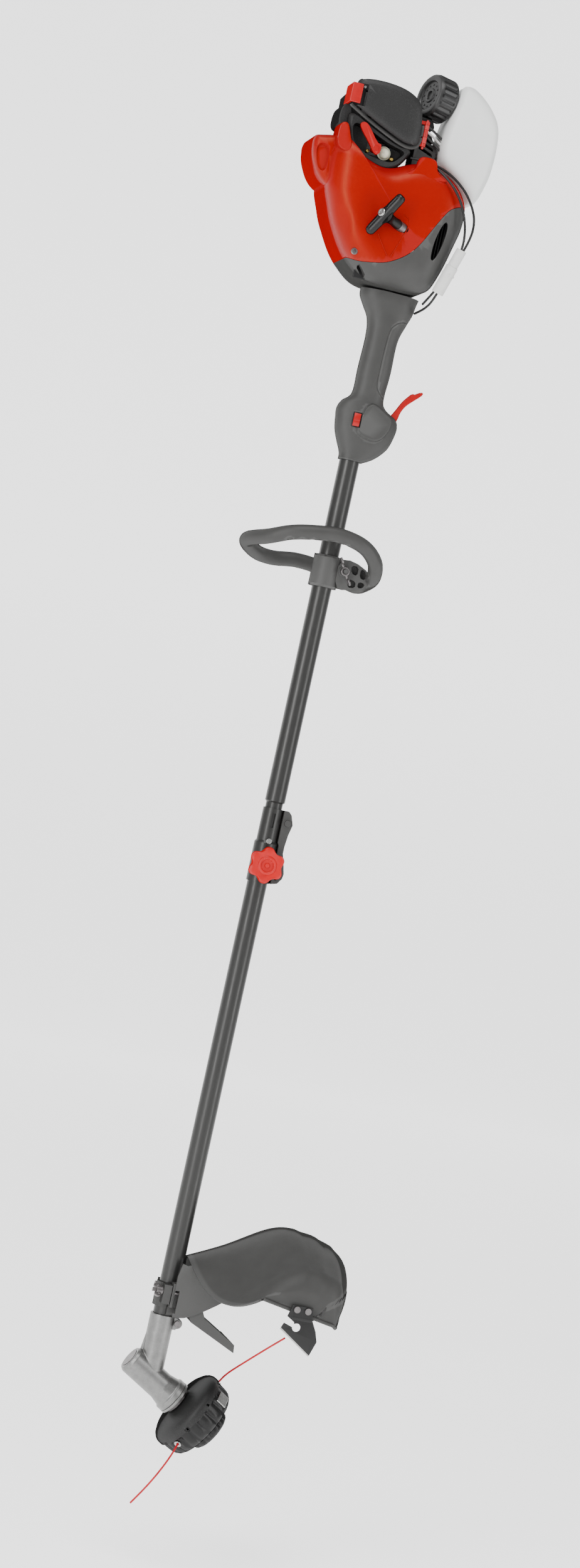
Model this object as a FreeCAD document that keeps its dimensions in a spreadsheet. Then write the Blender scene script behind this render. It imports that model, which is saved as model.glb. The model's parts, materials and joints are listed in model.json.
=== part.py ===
"""Petrol string trimmer: powerhead, two-piece boom, loop handle, shield and bump head.

Frame: +Z along the boom towards the engine, +X towards the ground side in use, +Y away
from the starter handle's side.  The origin is on the boom's axis, in the clear stretch
of tube between the rear grip and the loop handle.  Millimetres.
"""
import FreeCAD, Part
import math
import os
import Sketcher

Vec = FreeCAD.Vector

doc = FreeCAD.newDocument("string_trimmer")
sheet = doc.addObject("Spreadsheet::Sheet", "Dim")

DIMENSIONS = [
    # boom
    ("tube_dia", 25.4), ("tube_wall", 1.6), ("tube_top", 262.0), ("neck_z", -390.0),
    ("neck_step", 2.0), ("upper_end", -424.0), ("lower_end", -1066.0), ("joint_gap", 1.5),
    ("shaft_dia", 8.0), ("running_gap", 0.05), ("socket_square", 6.0),
    # engine
    ("drum_radius", 27.0), ("drum_z", 268.0), ("drum_depth", 20.0), ("flywheel_radius", 45.0),
    ("flywheel_z", 292.0), ("pulley_radius", 30.0), ("pulley_z", 314.0), ("pulley_width", 9.0),
    ("crankcase_z", 328.0), ("crankcase_len", 56.0), ("crankcase_radius", 34.0),
    ("bore_radius", 16.0), ("stroke_half", 14.0), ("rod_length", 44.0), ("rod_z", 366.0),
    ("fin_radius", 24.0), ("fin_pitch", 6.0), ("cover_wall", 3.0), ("cover_half_y", 66.0),
    ("tank_wall", 2.4), ("tank_half_y", 40.0), ("cap_radius", 28.5), ("cap_depth", 26.0),
    # controls
    ("grip_half_y", 19.0), ("trigger_thick", 10.0), ("loop_section", 9.6), ("loop_half_y", 52.5),
    ("clamp_length", 40.0),
    # coupler
    ("sleeve_proud", 0.05), ("flare_wall", 2.0), ("flare_end", -492.5), ("knob_radius", 23.0),
    # head
    ("gear_drop", 56.0), ("head_tilt", 59.0), ("arbor_dia", 10.0), ("cover_radius", 53.0),
    ("cover_top", 46.0), ("line_plane", 76.0), ("housing_end", 96.0), ("bump_radius", 28.0),
    ("bump_end", 110.0), ("line_dia", 2.4),
    # shield
    ("shield_half_y", 115.0), ("shield_wall", 3.0),
]


class Size:
    """A number from the sheet together with the expression that gives it."""

    def __init__(self, value, text):
        self.value = float(value)
        self.text = text

    def _join(self, other, sign, value):
        text = other.text if isinstance(other, Size) else repr(float(other))
        return Size(value, "(%s %s %s)" % (self.text, sign, text))

    def __float__(self):
        return self.value

    def __add__(self, other):
        return self._join(other, "+", self.value + float(other))

    def __sub__(self, other):
        return self._join(other, "-", self.value - float(other))

    def __mul__(self, other):
        return self._join(other, "*", self.value * float(other))

    def __truediv__(self, other):
        return self._join(other, "/", self.value / float(other))

    def __neg__(self):
        return Size(-self.value, "(0 - %s)" % self.text)

    __radd__ = __add__
    __rmul__ = __mul__

    def __rsub__(self, other):
        return (-self) + other


for row, (alias, value) in enumerate(DIMENSIONS, 1):
    sheet.set("A%d" % row, alias)
    sheet.set("B%d" % row, str(value))
    sheet.setAlias("B%d" % row, alias)
doc.recompute()
D = type("Sizes", (), {alias: Size(getattr(sheet, alias), "Dim." + alias)
                       for alias, value in DIMENSIONS})
NODES = []


# ---------------------------------------------------------------- helpers
def bind(obj, prop, size):
    """Set a property, and tie it to the sheet where the size comes from there."""
    if "." not in prop:
        setattr(obj, prop, float(size))
    if isinstance(size, Size):
        obj.setExpression(prop, size.text)


def place(obj, at=(0, 0, 0), turn=None):
    """Give an object its Placement, with its position tied to the sheet."""
    base = Vec(*[float(c) for c in at])
    obj.Placement = FreeCAD.Placement(base, turn or FreeCAD.Rotation())
    for axis, coord in zip("xyz", at):
        if isinstance(coord, Size):
            obj.setExpression("Placement.Base." + axis, coord.text)
    return obj


def towards(z_axis, x_axis=(1, 0, 0)):
    """Rotation that takes local Z to z_axis, with local X as near x_axis as it goes."""
    z = Vec(*z_axis).normalize()
    x = Vec(*x_axis)
    x = (x - z * x.dot(z)).normalize()
    return FreeCAD.Rotation(x, z.cross(x), z, "ZXY")


def node(obj, label):
    """Record an object as one of the trimmer's own pieces."""
    obj.Label = label
    NODES.append(obj)
    return obj


def polygon(body, plane, loops):
    """A sketch of closed loops whose corners are tied to the sheet; (c, r) pairs are circles."""
    sketch = body.newObject("Sketcher::SketchObject", body.Name + "_sketch")
    origin = [f for f in body.Origin.OriginFeatures if f.Role == plane][0]
    sketch.AttachmentSupport = (origin, [""])
    sketch.MapMode = "FlatFace"
    geometry, constraints, ties = [], [], []
    for loop in loops:
        first = len(geometry)
        if len(loop) == 2:
            (cx, cy), radius = loop
            centre = Vec(float(cx), float(cy), 0)
            geometry.append(Part.Circle(centre, Vec(0, 0, 1), float(radius)))
            constraints.append(Sketcher.Constraint("Radius", first, float(radius)))
            ties.append((len(constraints) - 1, radius))
            corners = [(first, 3, cx, cy)]
        else:
            count = len(loop)
            for i in range(count):
                start, end = loop[i], loop[(i + 1) % count]
                geometry.append(Part.LineSegment(Vec(float(start[0]), float(start[1]), 0),
                                                 Vec(float(end[0]), float(end[1]), 0)))
                constraints.append(Sketcher.Constraint("Coincident", first + i, 2,
                                                       first + (i + 1) % count, 1))
            corners = [(first + i, 1, loop[i][0], loop[i][1]) for i in range(count)]
        for geo, pos, x, y in corners:
            for kind, coord in (("DistanceX", x), ("DistanceY", y)):
                constraints.append(Sketcher.Constraint(kind, -1, 1, geo, pos, float(coord)))
                ties.append((len(constraints) - 1, coord))
    sketch.addGeometry(geometry, False)
    sketch.addConstraint(constraints)
    for index, size in ties:
        if isinstance(size, Size):
            sketch.setExpression("Constraints[%d]" % index, size.text)
    return sketch


def turned(label, *loops, at=(0, 0, 0), turn=None, angle=360.0):
    """A body of revolution; each loop holds (radius, height) corners about local Z."""
    body = doc.addObject("PartDesign::Body", label)
    body.Label = label + "_body"
    sketch = polygon(body, "XZ_Plane", loops)
    feature = body.newObject("PartDesign::Revolution", label + "_turned")
    feature.Profile = sketch
    feature.ReferenceAxis = (sketch, ["V_Axis"])
    feature.Midplane = angle < 360
    bind(feature, "Angle", angle)
    place(body, at, turn)
    return body


def padded(label, loops, length, at=(0, 0, 0), turn=None):
    """A body padded along local Z from loops of (x, y) corners; inner loops are holes."""
    body = doc.addObject("PartDesign::Body", label)
    body.Label = label + "_body"
    feature = body.newObject("PartDesign::Pad", label + "_pad")
    feature.Profile = polygon(body, "XY_Plane", loops)
    bind(feature, "Length", length)
    place(body, at, turn)
    return body


SIDE = FreeCAD.Rotation(Vec(1, 0, 0), 90)   # local (x, y, z) to (X, Z, -Y)


def side_plate(label, loops, y_low, y_high):
    """A piece padded across Y from loops of (X, Z) corners."""
    return padded(label, loops, y_high - y_low, (0, y_high, 0), SIDE)


def cylinder(radius, length, at, axis=(0, 0, 1)):
    rod = doc.addObject("Part::Cylinder", "rod")
    bind(rod, "Radius", radius)
    bind(rod, "Height", length)
    place(rod, at, towards(axis, (1, 0, 0) if abs(axis[0]) < 0.9 else (0, 1, 0)))
    return rod


def cone(radius1, radius2, length, at, axis=(0, 0, 1)):
    taper = doc.addObject("Part::Cone", "taper")
    bind(taper, "Radius1", radius1)
    bind(taper, "Radius2", radius2)
    bind(taper, "Height", length)
    place(taper, at, towards(axis, (1, 0, 0) if abs(axis[0]) < 0.9 else (0, 1, 0)))
    return taper


def block(low, high, turn=None):
    """A box between two corners; each corner may hold sizes from the sheet."""
    box = doc.addObject("Part::Box", "block")
    for prop, a, b in zip(("Length", "Width", "Height"), low, high):
        bind(box, prop, b - a)
    place(box, low, turn)
    return box


def cut(base, *tools):
    for tool in tools:
        result = doc.addObject("Part::Cut", "cut")
        result.Base = base
        result.Tool = tool
        base = result
    return base


def fuse(*parts):
    result = doc.addObject("Part::MultiFuse", "fuse")
    result.Shapes = list(parts)
    return result


def common(a, b):
    result = doc.addObject("Part::Common", "common")
    result.Base = a
    result.Tool = b
    return result


def together(*parts):
    result = doc.addObject("Part::Compound", "set")
    result.Links = list(parts)
    return result


def freeform(shape, name, placement=None):
    """A shape that needs Part's own functions."""
    feature = doc.addObject("Part::Feature", name)
    feature.Shape = shape
    feature.Placement = placement or FreeCAD.Placement()
    return feature


def rounded(outline):
    """The outline with each corner cut off at a quarter of its sides."""
    corners = []
    for (x0, z0), (x1, z1) in zip(outline, outline[1:] + outline[:1]):
        corners += [(0.75 * x0 + 0.25 * x1, 0.75 * z0 + 0.25 * z1),
                    (0.25 * x0 + 0.75 * x1, 0.25 * z0 + 0.75 * z1)]
    return corners


def pillow(outline, levels, centre, inset=0.0):
    """Solid through copies of an (X, Z) outline at each (Y, scale), shrunk by an inset."""
    sections = []
    for y, scale in levels:
        points = []
        for x, z in rounded(outline):
            dx, dz = x - centre[0], z - centre[1]
            k = scale * (1.0 - inset / math.hypot(dx, dz))
            points.append(Vec(centre[0] + k * dx, y, centre[1] + k * dz))
        sections.append(Part.makePolygon(points + points[:1]))
    return Part.makeLoft(sections, True, True)


def ring_stack(radius_in, radius_out, spans):
    rings = [cut(cylinder(radius_out, high - low, (0, 0, low)),
                 cylinder(radius_in, high - low + 2, (0, 0, low - 1))) for low, high in spans]
    return together(*rings)


# ---------------------------------------------------------------- boom
tube_r = D.tube_dia / 2
tube_in = tube_r - D.tube_wall
neck_r = tube_r - D.neck_step
gear_z = D.lower_end - D.gear_drop
neck_in = neck_r - D.tube_wall
shaft_r = D.shaft_dia / 2

node(turned("upper_tube", [(tube_in, D.tube_top), (tube_r, D.tube_top), (tube_r, D.neck_z),
                           (neck_r, D.neck_z - 2), (neck_r, D.upper_end), (neck_in, D.upper_end),
                           (neck_in, D.neck_z), (tube_in, D.neck_z + 2)]), "upper_tube")
swage_top = D.upper_end - D.joint_gap
node(turned("lower_tube", [(neck_in, swage_top), (neck_r, swage_top), (neck_r, swage_top - 20),
                           (tube_r, swage_top - 24), (tube_r, D.lower_end), (tube_in, D.lower_end),
                           (tube_in, swage_top - 26), (neck_in, swage_top - 22)]), "lower_tube")
upper_bushings = (ring_stack(shaft_r + D.running_gap, tube_in,
                [(D.tube_top - 12, D.tube_top - 2), (Size(20, "20"), Size(30, "30")),
                 (Size(-200, "-200"), Size(-190, "-190")), (D.neck_z + 14, D.neck_z + 24)]))
lower_bushings = (ring_stack(shaft_r + D.running_gap, tube_in,
                [(swage_top - 60, swage_top - 50), (Size(-760, "-760"), Size(-750, "-750")),
                 (D.lower_end + 4, D.lower_end + 14)]))

socket_top = D.upper_end + 28
shaft_bar = turned("upper_shaft_bar", [(0, D.upper_end + 2), (6.5, D.upper_end + 2),
                                       (6.5, socket_top), (shaft_r, socket_top + 3),
                                       (shaft_r, D.drum_z + 3), (0, D.drum_z + 3)])
half_socket = D.socket_square / 2 + 0.1
socket = block((-half_socket, -half_socket, D.upper_end + 1),
               (half_socket, half_socket, D.upper_end + 22))
node(cut(shaft_bar, socket), "upper_drive_shaft")
half_square = D.socket_square / 2
square_end = block((-half_square, -half_square, swage_top - 6),
                   (half_square, half_square, D.upper_end + 20))
pinion_z = gear_z + 11
lower_bar = cylinder(shaft_r, swage_top - 4 - pinion_z, (0, 0, pinion_z))
pinion = cut(cone(4.9, 7.1, 5.4, (0, 0, gear_z + 11)), cylinder(shaft_r, 20, (0, 0, gear_z + 5)))
node(together(fuse(square_end, lower_bar), pinion), "lower_drive_shaft")

# ---------------------------------------------------------------- coupler
sleeve_r = tube_r + D.sleeve_proud
flare_r = tube_r + D.flare_wall
sleeve_top = D.neck_z - 9
flare_top = D.upper_end - 19
sleeve = turned("sleeve_body", [(neck_r, sleeve_top), (sleeve_r, sleeve_top),
                                (sleeve_r, flare_top + 3), (flare_r, flare_top),
                                (flare_r, D.flare_end), (tube_r + D.running_gap, D.flare_end),
                                (tube_r + D.running_gap, swage_top - 23.6),
                                (neck_r + D.running_gap, swage_top - 19.6),
                                (neck_r + D.running_gap, D.upper_end), (neck_r, D.upper_end)])
slot = block((-2, -20, -423), (2, -5, -405))
pin_hole = cylinder(2.6, 12, (0, -20, -440), (0, 1, 0))
split = block((-1, 10, D.flare_end - 1), (1, 22, flare_top - 6))
sleeve_part = cut(sleeve, slot, pin_hole, split)
side_loop = [(sleeve_r + 0.2, -399), (19, -399), (23, -403), (27, -415), (24, -428), (22.5, -443),
             (22.5, -452), (25, -460), (29, -477), (28, -483), (23, -490), (flare_r + 0.1, -492),
             (flare_r + 0.1, flare_top), (sleeve_r + 0.2, flare_top + 3)]
bolt_eye = [(19.5, -414), 2.6]
window_a = [(18, -459), (20.5, -459), (23, -470), (18, -470)]
window_b = [(18, -474), (23.5, -474), (24, -482), (20, -486), (18, -486)]
bracket = side_plate("bracket", [side_loop, bolt_eye, window_a, window_b], Size(-9, "-9"), Size(9, "9"))
node(together(bracket, fuse(cylinder(2.5, 24, (19.5, -12, -414), (0, 1, 0)), cylinder(4, 2.9, (19.5, -12, -414), (0, 1, 0)),
          cylinder(4, 2.9, (19.5, 9.1, -414), (0, 1, 0)))), "coupler_bracket")
knob_stud = cylinder(3, 21.7 - tube_r, (1, -24, -469.5), (0, 1, 0))
lobes = [cylinder(5.2, 12, (1 + 17.8 * math.cos(math.radians(a)), -33,
                            -469.5 + 17.8 * math.sin(math.radians(a))), (0, 1, 0))
         for a in range(0, 360, 60)]
knob_disc = cylinder(D.knob_radius - 4.5, 13, (1, -33.5, -469.5), (0, 1, 0))
node(fuse(knob_disc, cylinder(10.5, 2, (1, -35, -469.5), (0, 1, 0)),
          knob_stud, *lobes), "coupler_knob")
boss = cut(cylinder(9.5, 8.5, (1, -20, -469.5), (0, 1, 0)),
           cylinder(flare_r + 0.1, 60, (0, 0, -500)), cylinder(3.2, 12, (1, -22, -469.5), (0, 1, 0)))
node(fuse(sleeve_part, boss), "coupler_sleeve")
button_y = -(tube_r + 2.9)
node(fuse(cylinder(2.4, 4.2, (0, button_y, -440), (0, 1, 0)),
          cylinder(3.4, 1.6, (0, button_y - 1.6, -440), (0, 1, 0))),
     "release_button")

# ---------------------------------------------------------------- crank train
drum_r = D.drum_radius
node(turned("drum", [(shaft_r, D.drum_z - 3), (9, D.drum_z - 3), (9, D.drum_z), (drum_r, D.drum_z),
                     (drum_r, D.drum_z + D.drum_depth), (drum_r - 2, D.drum_z + D.drum_depth),
                     (drum_r - 2, D.drum_z + 2.5), (shaft_r, D.drum_z + 2.5)]), "clutch_drum")
crank_r = 7.5
nose_r = 6.0
pulley_top = D.pulley_z + D.pulley_width
web_z = D.rod_z - 17
shoe_ring = turned("shoe_ring", [(nose_r, D.drum_z + 4.5), (drum_r - 2.6, D.drum_z + 4.5),
                                 (drum_r - 2.6, D.drum_z + D.drum_depth - 3),
                                 (nose_r, D.drum_z + D.drum_depth - 3)])
shoe_gap = block((-40, -1.5, D.drum_z), (40, 1.5, D.drum_z + D.drum_depth))
shoes = cut(shoe_ring, shoe_gap)
crank_axis = turned("crank_axis", [(0, D.drum_z + 3.5), (nose_r, D.drum_z + 3.5),
                                   (nose_r, D.flywheel_z + 20), (crank_r, D.flywheel_z + 20.5),
                                   (crank_r, web_z), (21, web_z), (21, web_z + 8), (0, web_z + 8)])
web_relief = block((-30, -30, web_z - 0.5), (-3, -9.5, web_z + 9))
web_relief_b = block((-30, 9.5, web_z - 0.5), (-3, 30, web_z + 9))
node(together(cut(crank_axis, web_relief, web_relief_b), shoes), "crankshaft_and_clutch")
fly_r = D.flywheel_radius
flywheel = doc.addObject("PartDesign::Body", "flywheel")
disc = flywheel.newObject("PartDesign::Revolution", "flywheel_disc")
disc.Profile = polygon(flywheel, "XZ_Plane", [[
    (nose_r, D.flywheel_z), (15, D.flywheel_z), (15, D.flywheel_z + 11), (fly_r, D.flywheel_z + 13),
    (fly_r, D.flywheel_z + 19), (nose_r, D.flywheel_z + 19)]])
disc.ReferenceAxis = (disc.Profile[0], ["V_Axis"])
doc.recompute()
blade = flywheel.newObject("PartDesign::Pad", "fan_blade")
blade.Profile = polygon(flywheel, "XY_Plane", [[(17, -1), (fly_r - 2, 5), (fly_r - 2, 7.4), (17, 1.4)]])
blade.Profile[0].AttachmentOffset = FreeCAD.Placement(Vec(0, 0, float(D.flywheel_z) + 1), FreeCAD.Rotation())
blade.Profile[0].setExpression("AttachmentOffset.Base.z", (D.flywheel_z + 1).text)
bind(blade, "Length", 13)
fan = flywheel.newObject("PartDesign::PolarPattern", "fan_blades")
fan.Originals = [blade]
fan.Axis = (blade.Profile[0], ["N_Axis"])
fan.Angle = 360
fan.Occurrences = 12
flywheel.Tip = fan
node(flywheel, "flywheel")

pulley = turned("pulley", [(crank_r + D.running_gap, D.pulley_z), (D.pulley_radius, D.pulley_z),
                           (D.pulley_radius, D.pulley_z + 2), (D.pulley_radius - 6, D.pulley_z + 2.5),
                           (D.pulley_radius - 6, pulley_top - 2.5), (D.pulley_radius, pulley_top - 2),
                           (D.pulley_radius, pulley_top), (crank_r + D.running_gap, pulley_top)])
rope_coil = (turned("rope_coil", [(D.pulley_radius - 6, D.pulley_z + 2.7), (D.pulley_radius - 2, D.pulley_z + 2.9),
                          (D.pulley_radius - 2, pulley_top - 2.9), (D.pulley_radius - 6, pulley_top - 2.7)]))
node(together(pulley, rope_coil), "starter_pulley")
recoil = (turned("spring_case", [(13, pulley_top + 0.5), (27, pulley_top + 0.5), (27, D.crankcase_z - 0.5),
                            (13, D.crankcase_z - 0.5)]))

case_r = D.crankcase_radius
case_top = D.crankcase_z + D.crankcase_len
bore_r = D.bore_radius
case_block = cylinder(case_r, D.crankcase_len, (0, 0, D.crankcase_z))
chamber = cylinder(25, case_top - 4 - (web_z - 1.5), (0, 0, web_z - 1.5))
bearing_seat = cylinder(11, web_z - D.crankcase_z + 2, (0, 0, D.crankcase_z - 1))
cylinder_seat = cylinder(bore_r + 4.2, 40, (0, 0, D.rod_z), (-1, 0, 0))
node(cut(case_block, chamber, bearing_seat, cylinder_seat), "crankcase")
bearing_low = D.crankcase_z + 1.5
crank_bearings = ring_stack(crank_r + D.running_gap, 11,
                            [(bearing_low, bearing_low + 7), (web_z - 9.5, web_z - 2.5)])
node(together(upper_bushings, crank_bearings), "upper_bearings")

# cylinder: barrel about -X, with fins, an intake boss towards +Z and an exhaust boss towards +Y
OUT = towards((-1, 0, 0), (0, 0, 1))
head_end = D.stroke_half + D.rod_length + 30
barrel = [cylinder(bore_r + 4, head_end - 33, (-30, 0, D.rod_z), (-1, 0, 0)),
          cone(bore_r + 4, bore_r + 1, 3, (-(head_end - 3), 0, D.rod_z), (-1, 0, 0))]
for i in range(6):
    barrel.append(cylinder(D.fin_radius, 2, (-(44 + D.fin_pitch * i), 0, D.rod_z), (-1, 0, 0)))
intake = cylinder(9, 25.2, (-57, 0, D.rod_z + 17), (0, 0, 1))
intake_port = cylinder(6, 34, (-57, 0, D.rod_z + 10), (0, 0, 1))
exhaust = cylinder(8.7, 15, (-60, 15, D.rod_z), (0, 1, 0))
exhaust_port = cylinder(5.5, 22, (-60, 10, D.rod_z), (0, 1, 0))
PLUG = Vec(-0.62, 0, 0.785).normalize()
plug_seat = Vec(-80, 0, 370)
plug_at = [plug_seat.x, 0, D.rod_z + (plug_seat.z - 366)]
plug_hole = cylinder(5, 30, (plug_at[0] - 6 * PLUG.x, 0, plug_at[2] - 6 * PLUG.z), PLUG)
plug_face = cylinder(9.8, 26, (plug_at[0] + 8.2 * PLUG.x, 0, plug_at[2] + 8.2 * PLUG.z), PLUG)
plug_boss = cylinder(8.5, 12, (plug_at[0] - 4 * PLUG.x, 0, plug_at[2] - 4 * PLUG.z), PLUG)
bore_clear = cylinder(bore_r, head_end - 42, (-29, 0, D.rod_z), (-1, 0, 0))
combustion = cone(bore_r, 8, 4, (-29 - (head_end - 42), 0, D.rod_z), (-1, 0, 0))
node(cut(fuse(*barrel, intake, exhaust, plug_boss), intake_port, exhaust_port, plug_hole, plug_face,
         fuse(bore_clear, combustion)), "cylinder")
plug = turned("plug", [(0, 0), (4.9, 0), (4.9, 8.3), (9, 8.3), (9, 16), (5, 17), (5, 34), (2.5, 35),
                       (2.5, 42), (0, 42)], at=plug_at, turn=towards(PLUG, (0, 1, 0)))
boot = turned("boot", [(5.1, 20), (9.5, 20), (9.5, 30), (8, 36), (8, 52), (5, 58), (0, 58), (0, 43),
                       (2.6, 43), (2.6, 35.3), (5.1, 34.6)], at=plug_at, turn=towards(PLUG, (0, 1, 0)))
node(together(plug, boot), "spark_plug")

piston = turned("piston_cup", [(bore_r - D.running_gap, -8.4), (bore_r - D.running_gap, 14),
                               (0, 14), (0, 9), (bore_r - 3.5, 9), (bore_r - 3.5, -8.4)],
                at=(-(D.stroke_half + D.rod_length), 0, D.rod_z), turn=OUT)
wrist_hole = cylinder(3.5, 40, (-(D.stroke_half + D.rod_length), 0, D.rod_z - 20))
node(cut(piston, wrist_hole), "piston")
rod_outline = [(-D.stroke_half + 9, -4), (-D.stroke_half + 6, -8), (-D.stroke_half - 5, -8),
               (-D.stroke_half - 10, -3.5), (-(D.stroke_half + D.rod_length) + 7, -3),
               (-(D.stroke_half + D.rod_length) + 4, -6), (-(D.stroke_half + D.rod_length) - 4, -6),
               (-(D.stroke_half + D.rod_length) - 6.5, 0), (-(D.stroke_half + D.rod_length) - 4, 6),
               (-(D.stroke_half + D.rod_length) + 4, 6), (-(D.stroke_half + D.rod_length) + 7, 3),
               (-D.stroke_half - 10, 3.5), (-D.stroke_half - 5, 8), (-D.stroke_half + 6, 8),
               (-D.stroke_half + 9, 4)]
rod = padded("rod", [rod_outline, [(-D.stroke_half, 0), 5],
                     [(-(D.stroke_half + D.rod_length), 0), 3.5]], 7.0, (0, 0, D.rod_z - 3.5))
crank_pin = cylinder(5, 13, (-D.stroke_half, 0, D.rod_z - 8))
wrist_pin = cylinder(3.5, 29, (-(D.stroke_half + D.rod_length), 0, D.rod_z - 14.5))
node(together(rod, crank_pin, wrist_pin), "connecting_rod")

coil_z = D.flywheel_z + 4
coil = block((-(fly_r + 24), -13, coil_z), (-(fly_r + 0.7), 13, coil_z + 15))
node(cut(coil, cylinder(fly_r + 0.7, 40, (0, 0, coil_z - 10))), "ignition_coil")
node(cut(block((-82, 30.5, D.rod_z - 24), (-40, 57, D.rod_z + 17)),
         block((-79.5, 33, D.rod_z - 21.5), (-42.5, 54.5, D.rod_z + 14.5)),
         cylinder(5.5, 6, (-60, 29, D.rod_z), (0, 1, 0)),
         cylinder(6, 8, (-52, 53, D.rod_z - 10), (0, 1, 0))), "muffler")
carb_z = D.rod_z + 42.5
carb = fuse(block((-70, -17, carb_z), (-44, 17, carb_z + 25)), cylinder(11, 5, (-57, 0, carb_z + 24), (0, 0, 1)),
            cylinder(6, 8, (-50, -24, carb_z + 9), (0, 1, 0)))
node(cut(carb, cylinder(6, 40, (-57, 0, carb_z - 5))), "carburettor")

# ---------------------------------------------------------------- engine covers
half_y = float(D.cover_half_y)
wall = float(D.cover_wall)
COVER_CENTRE = (-15, 340)
COVER_OUTLINE = [
    (-138, 422), (-138, 402), (-133, 388), (-125, 373), (-113, 362), (-105, 348), (-98, 330),
    (-90, 316), (-80, 299), (-70, 286), (-58, 275), (-45, 265), (-30, 260), (0, 259), (30, 260),
    (44, 266), (52, 286), (58, 306), (63, 328), (69, 350), (69, 374), (60, 388), (50, 398),
    (40, 406), (25, 411), (5, 412), (-10, 408), (-22, 401), (-35, 395), (-48, 393), (-62, 396),
    (-80, 403), (-92, 412), (-99, 424), (-112, 427)]
SEAM = [(-150, 330), (-104, 321), (-97, 312), (-90, 301), (-81, 292), (-71, 285), (-57, 280.5),
        (-43, 280.5), (-23, 284.5), (-7, 293), (6, 304), (16, 318), (25.5, 336), (35, 354),
        (44, 367), (56, 374), (100, 374), (100, 240), (-150, 240)]


def steps(depth, offset=0.0):
    """The Y stations and scales that round a cover's two sides."""
    stations = ((-depth, 0.80), (-depth + 8, 0.93), (-depth + 24, 1.0),
                (depth - 24, 1.0), (depth - 8, 0.93), (depth, 0.80))
    return [(y - math.copysign(offset, y), scale) for y, scale in stations]


outer_skin = pillow(COVER_OUTLINE, steps(half_y), COVER_CENTRE)
inner_skin = pillow(COVER_OUTLINE, steps(half_y, wall), COVER_CENTRE, wall)
cover_shell = freeform(outer_skin.cut(inner_skin), "cover_shell")
PULL = Vec(-0.80, -0.56, 0.20).normalize()
pull_start = Vec(-40, -half_y - 18, 338) - PULL * 32
guide_hole = cylinder(6.1, 30, tuple(pull_start - PULL * 14), PULL)


def seam_block(shift):
    points = [Vec(x - shift / 2, -90, z + shift) for x, z in SEAM]
    face = Part.Face(Part.makePolygon(points + points[:1]))
    return freeform(face.extrude(Vec(0, 180, 0)), "seam_block")


tube_hole = cylinder(tube_r, 60, (0, 0, 240))
near_vent = freeform(Part.makeCylinder(6, 40, Vec(50, -90, 338), Vec(0, 1, 0)), "near_vent")
vent_slots = [block((-40 + 12 * i, 40, 268), (-34 + 12 * i, 80, 284)) for i in range(7)]
exhaust_slots = [block((-74, 50, 342 + 8 * i), (-44, 80, 346 + 8 * i)) for i in range(4)]
node(cut(common(cover_shell, seam_block(0.0)), tube_hole, near_vent, *vent_slots), "fan_housing")
intake_hole = cylinder(12, 30, (-57, 0, 385))
boot_hole = cylinder(10.2, 80, tuple(plug_seat + PLUG * 18), PLUG)
node(cut(cover_shell, seam_block(0.6), guide_hole, intake_hole, boot_hole, *exhaust_slots),
     "engine_shroud")
guide_ring = cut(cylinder(6, 9, tuple(pull_start - PULL * 5), PULL),
                 cylinder(2.6, 12, tuple(pull_start - PULL * 6), PULL))
node(together(guide_ring, recoil), "starter_fittings")
BAR = Vec(0.496, -0.4, 0.868).normalize()
grip_at = pull_start + PULL * 32
t_bar = fuse(cylinder(6, 62, tuple(grip_at - BAR * 31), BAR),
             cone(4.5, 6.5, 27.5, tuple(grip_at - PULL * 27.7), PULL))
ferrule = cylinder(5.5, 2.6, tuple(grip_at + PULL * 6.05), PULL)
node(together(t_bar, ferrule), "starter_handle")
node(cylinder(1.7, 26, tuple(grip_at - PULL * 53.8), PULL), "starter_rope")

BOX_CENTRE = (-57, 450)
box_outline = [(-103, 499), (-60, 502), (-26, 493), (-14, 470), (-11, 440), (-22, 415), (-30, 405),
               (-45, 398.5), (-60, 401), (-80, 408), (-92, 414), (-98, 426), (-102, 442)]
box_outer = pillow(box_outline, [(-31, 0.97), (-26, 1.0), (36, 1.0), (45, 0.9)], BOX_CENTRE)
box_inner = pillow(box_outline, [(-28.5, 0.97), (-25, 1.0), (34, 1.0), (42.5, 0.9)], BOX_CENTRE, 2.5)
air_box = cut(freeform(box_outer.cut(box_inner), "air_box_shell"), cylinder(12, 30, (-57, 0, 385)),
              block((-88, -35, 458), (-28, -20, 490)), block((-70, -35, 414), (-42, -20, 432)))
node(air_box, "air_box")
node(block((-86, -31.2, 460), (-30, -10, 488)), "air_filter")
bowl_outline = [(-101, 459), (-80, 449), (-60, 440), (-30, 428), (-16, 428), (-22, 415), (-30, 405),
                (-45, 398.5), (-60, 401), (-80, 408), (-92, 414), (-98, 426), (-102, 442)]
bowl = pillow(bowl_outline, [(-48, 0.9), (-42, 1.0), (-31.5, 1.0)], (-57, 425))
window = [(-92, 443), (-92, 430), (-85, 418), (-70, 412), (-50, 409), (-38, 410), (-32, 417),
          (-26, 424), (-45, 428), (-75, 440)]
node(cut(freeform(bowl, "bowl"), side_plate("window", [window], Size(-60, "-60"), Size(-20, "-20"))),
     "carburettor_cover")
node(fuse(cylinder(8.5, 2, (-48, -34.3, 419), (0, -1, 0)), cylinder(7, 4.5, (-48, -36.3, 419), (0, -1, 0)),
          cone(7, 4, 2.5, (-48, -40.8, 419), (0, -1, 0))), "primer_bulb")
choke_loop = [(-62, 413), (-57, 416), (-59, 422), (-79, 444), (-86, 446), (-86, 441)]
node(fuse(side_plate("choke_blade", [choke_loop], Size(-53, "-53"), Size(-49.5, "-49.5")),
          cylinder(3.5, 19, (-62, -32, 420), (0, -1, 0))), "choke_lever")
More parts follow.
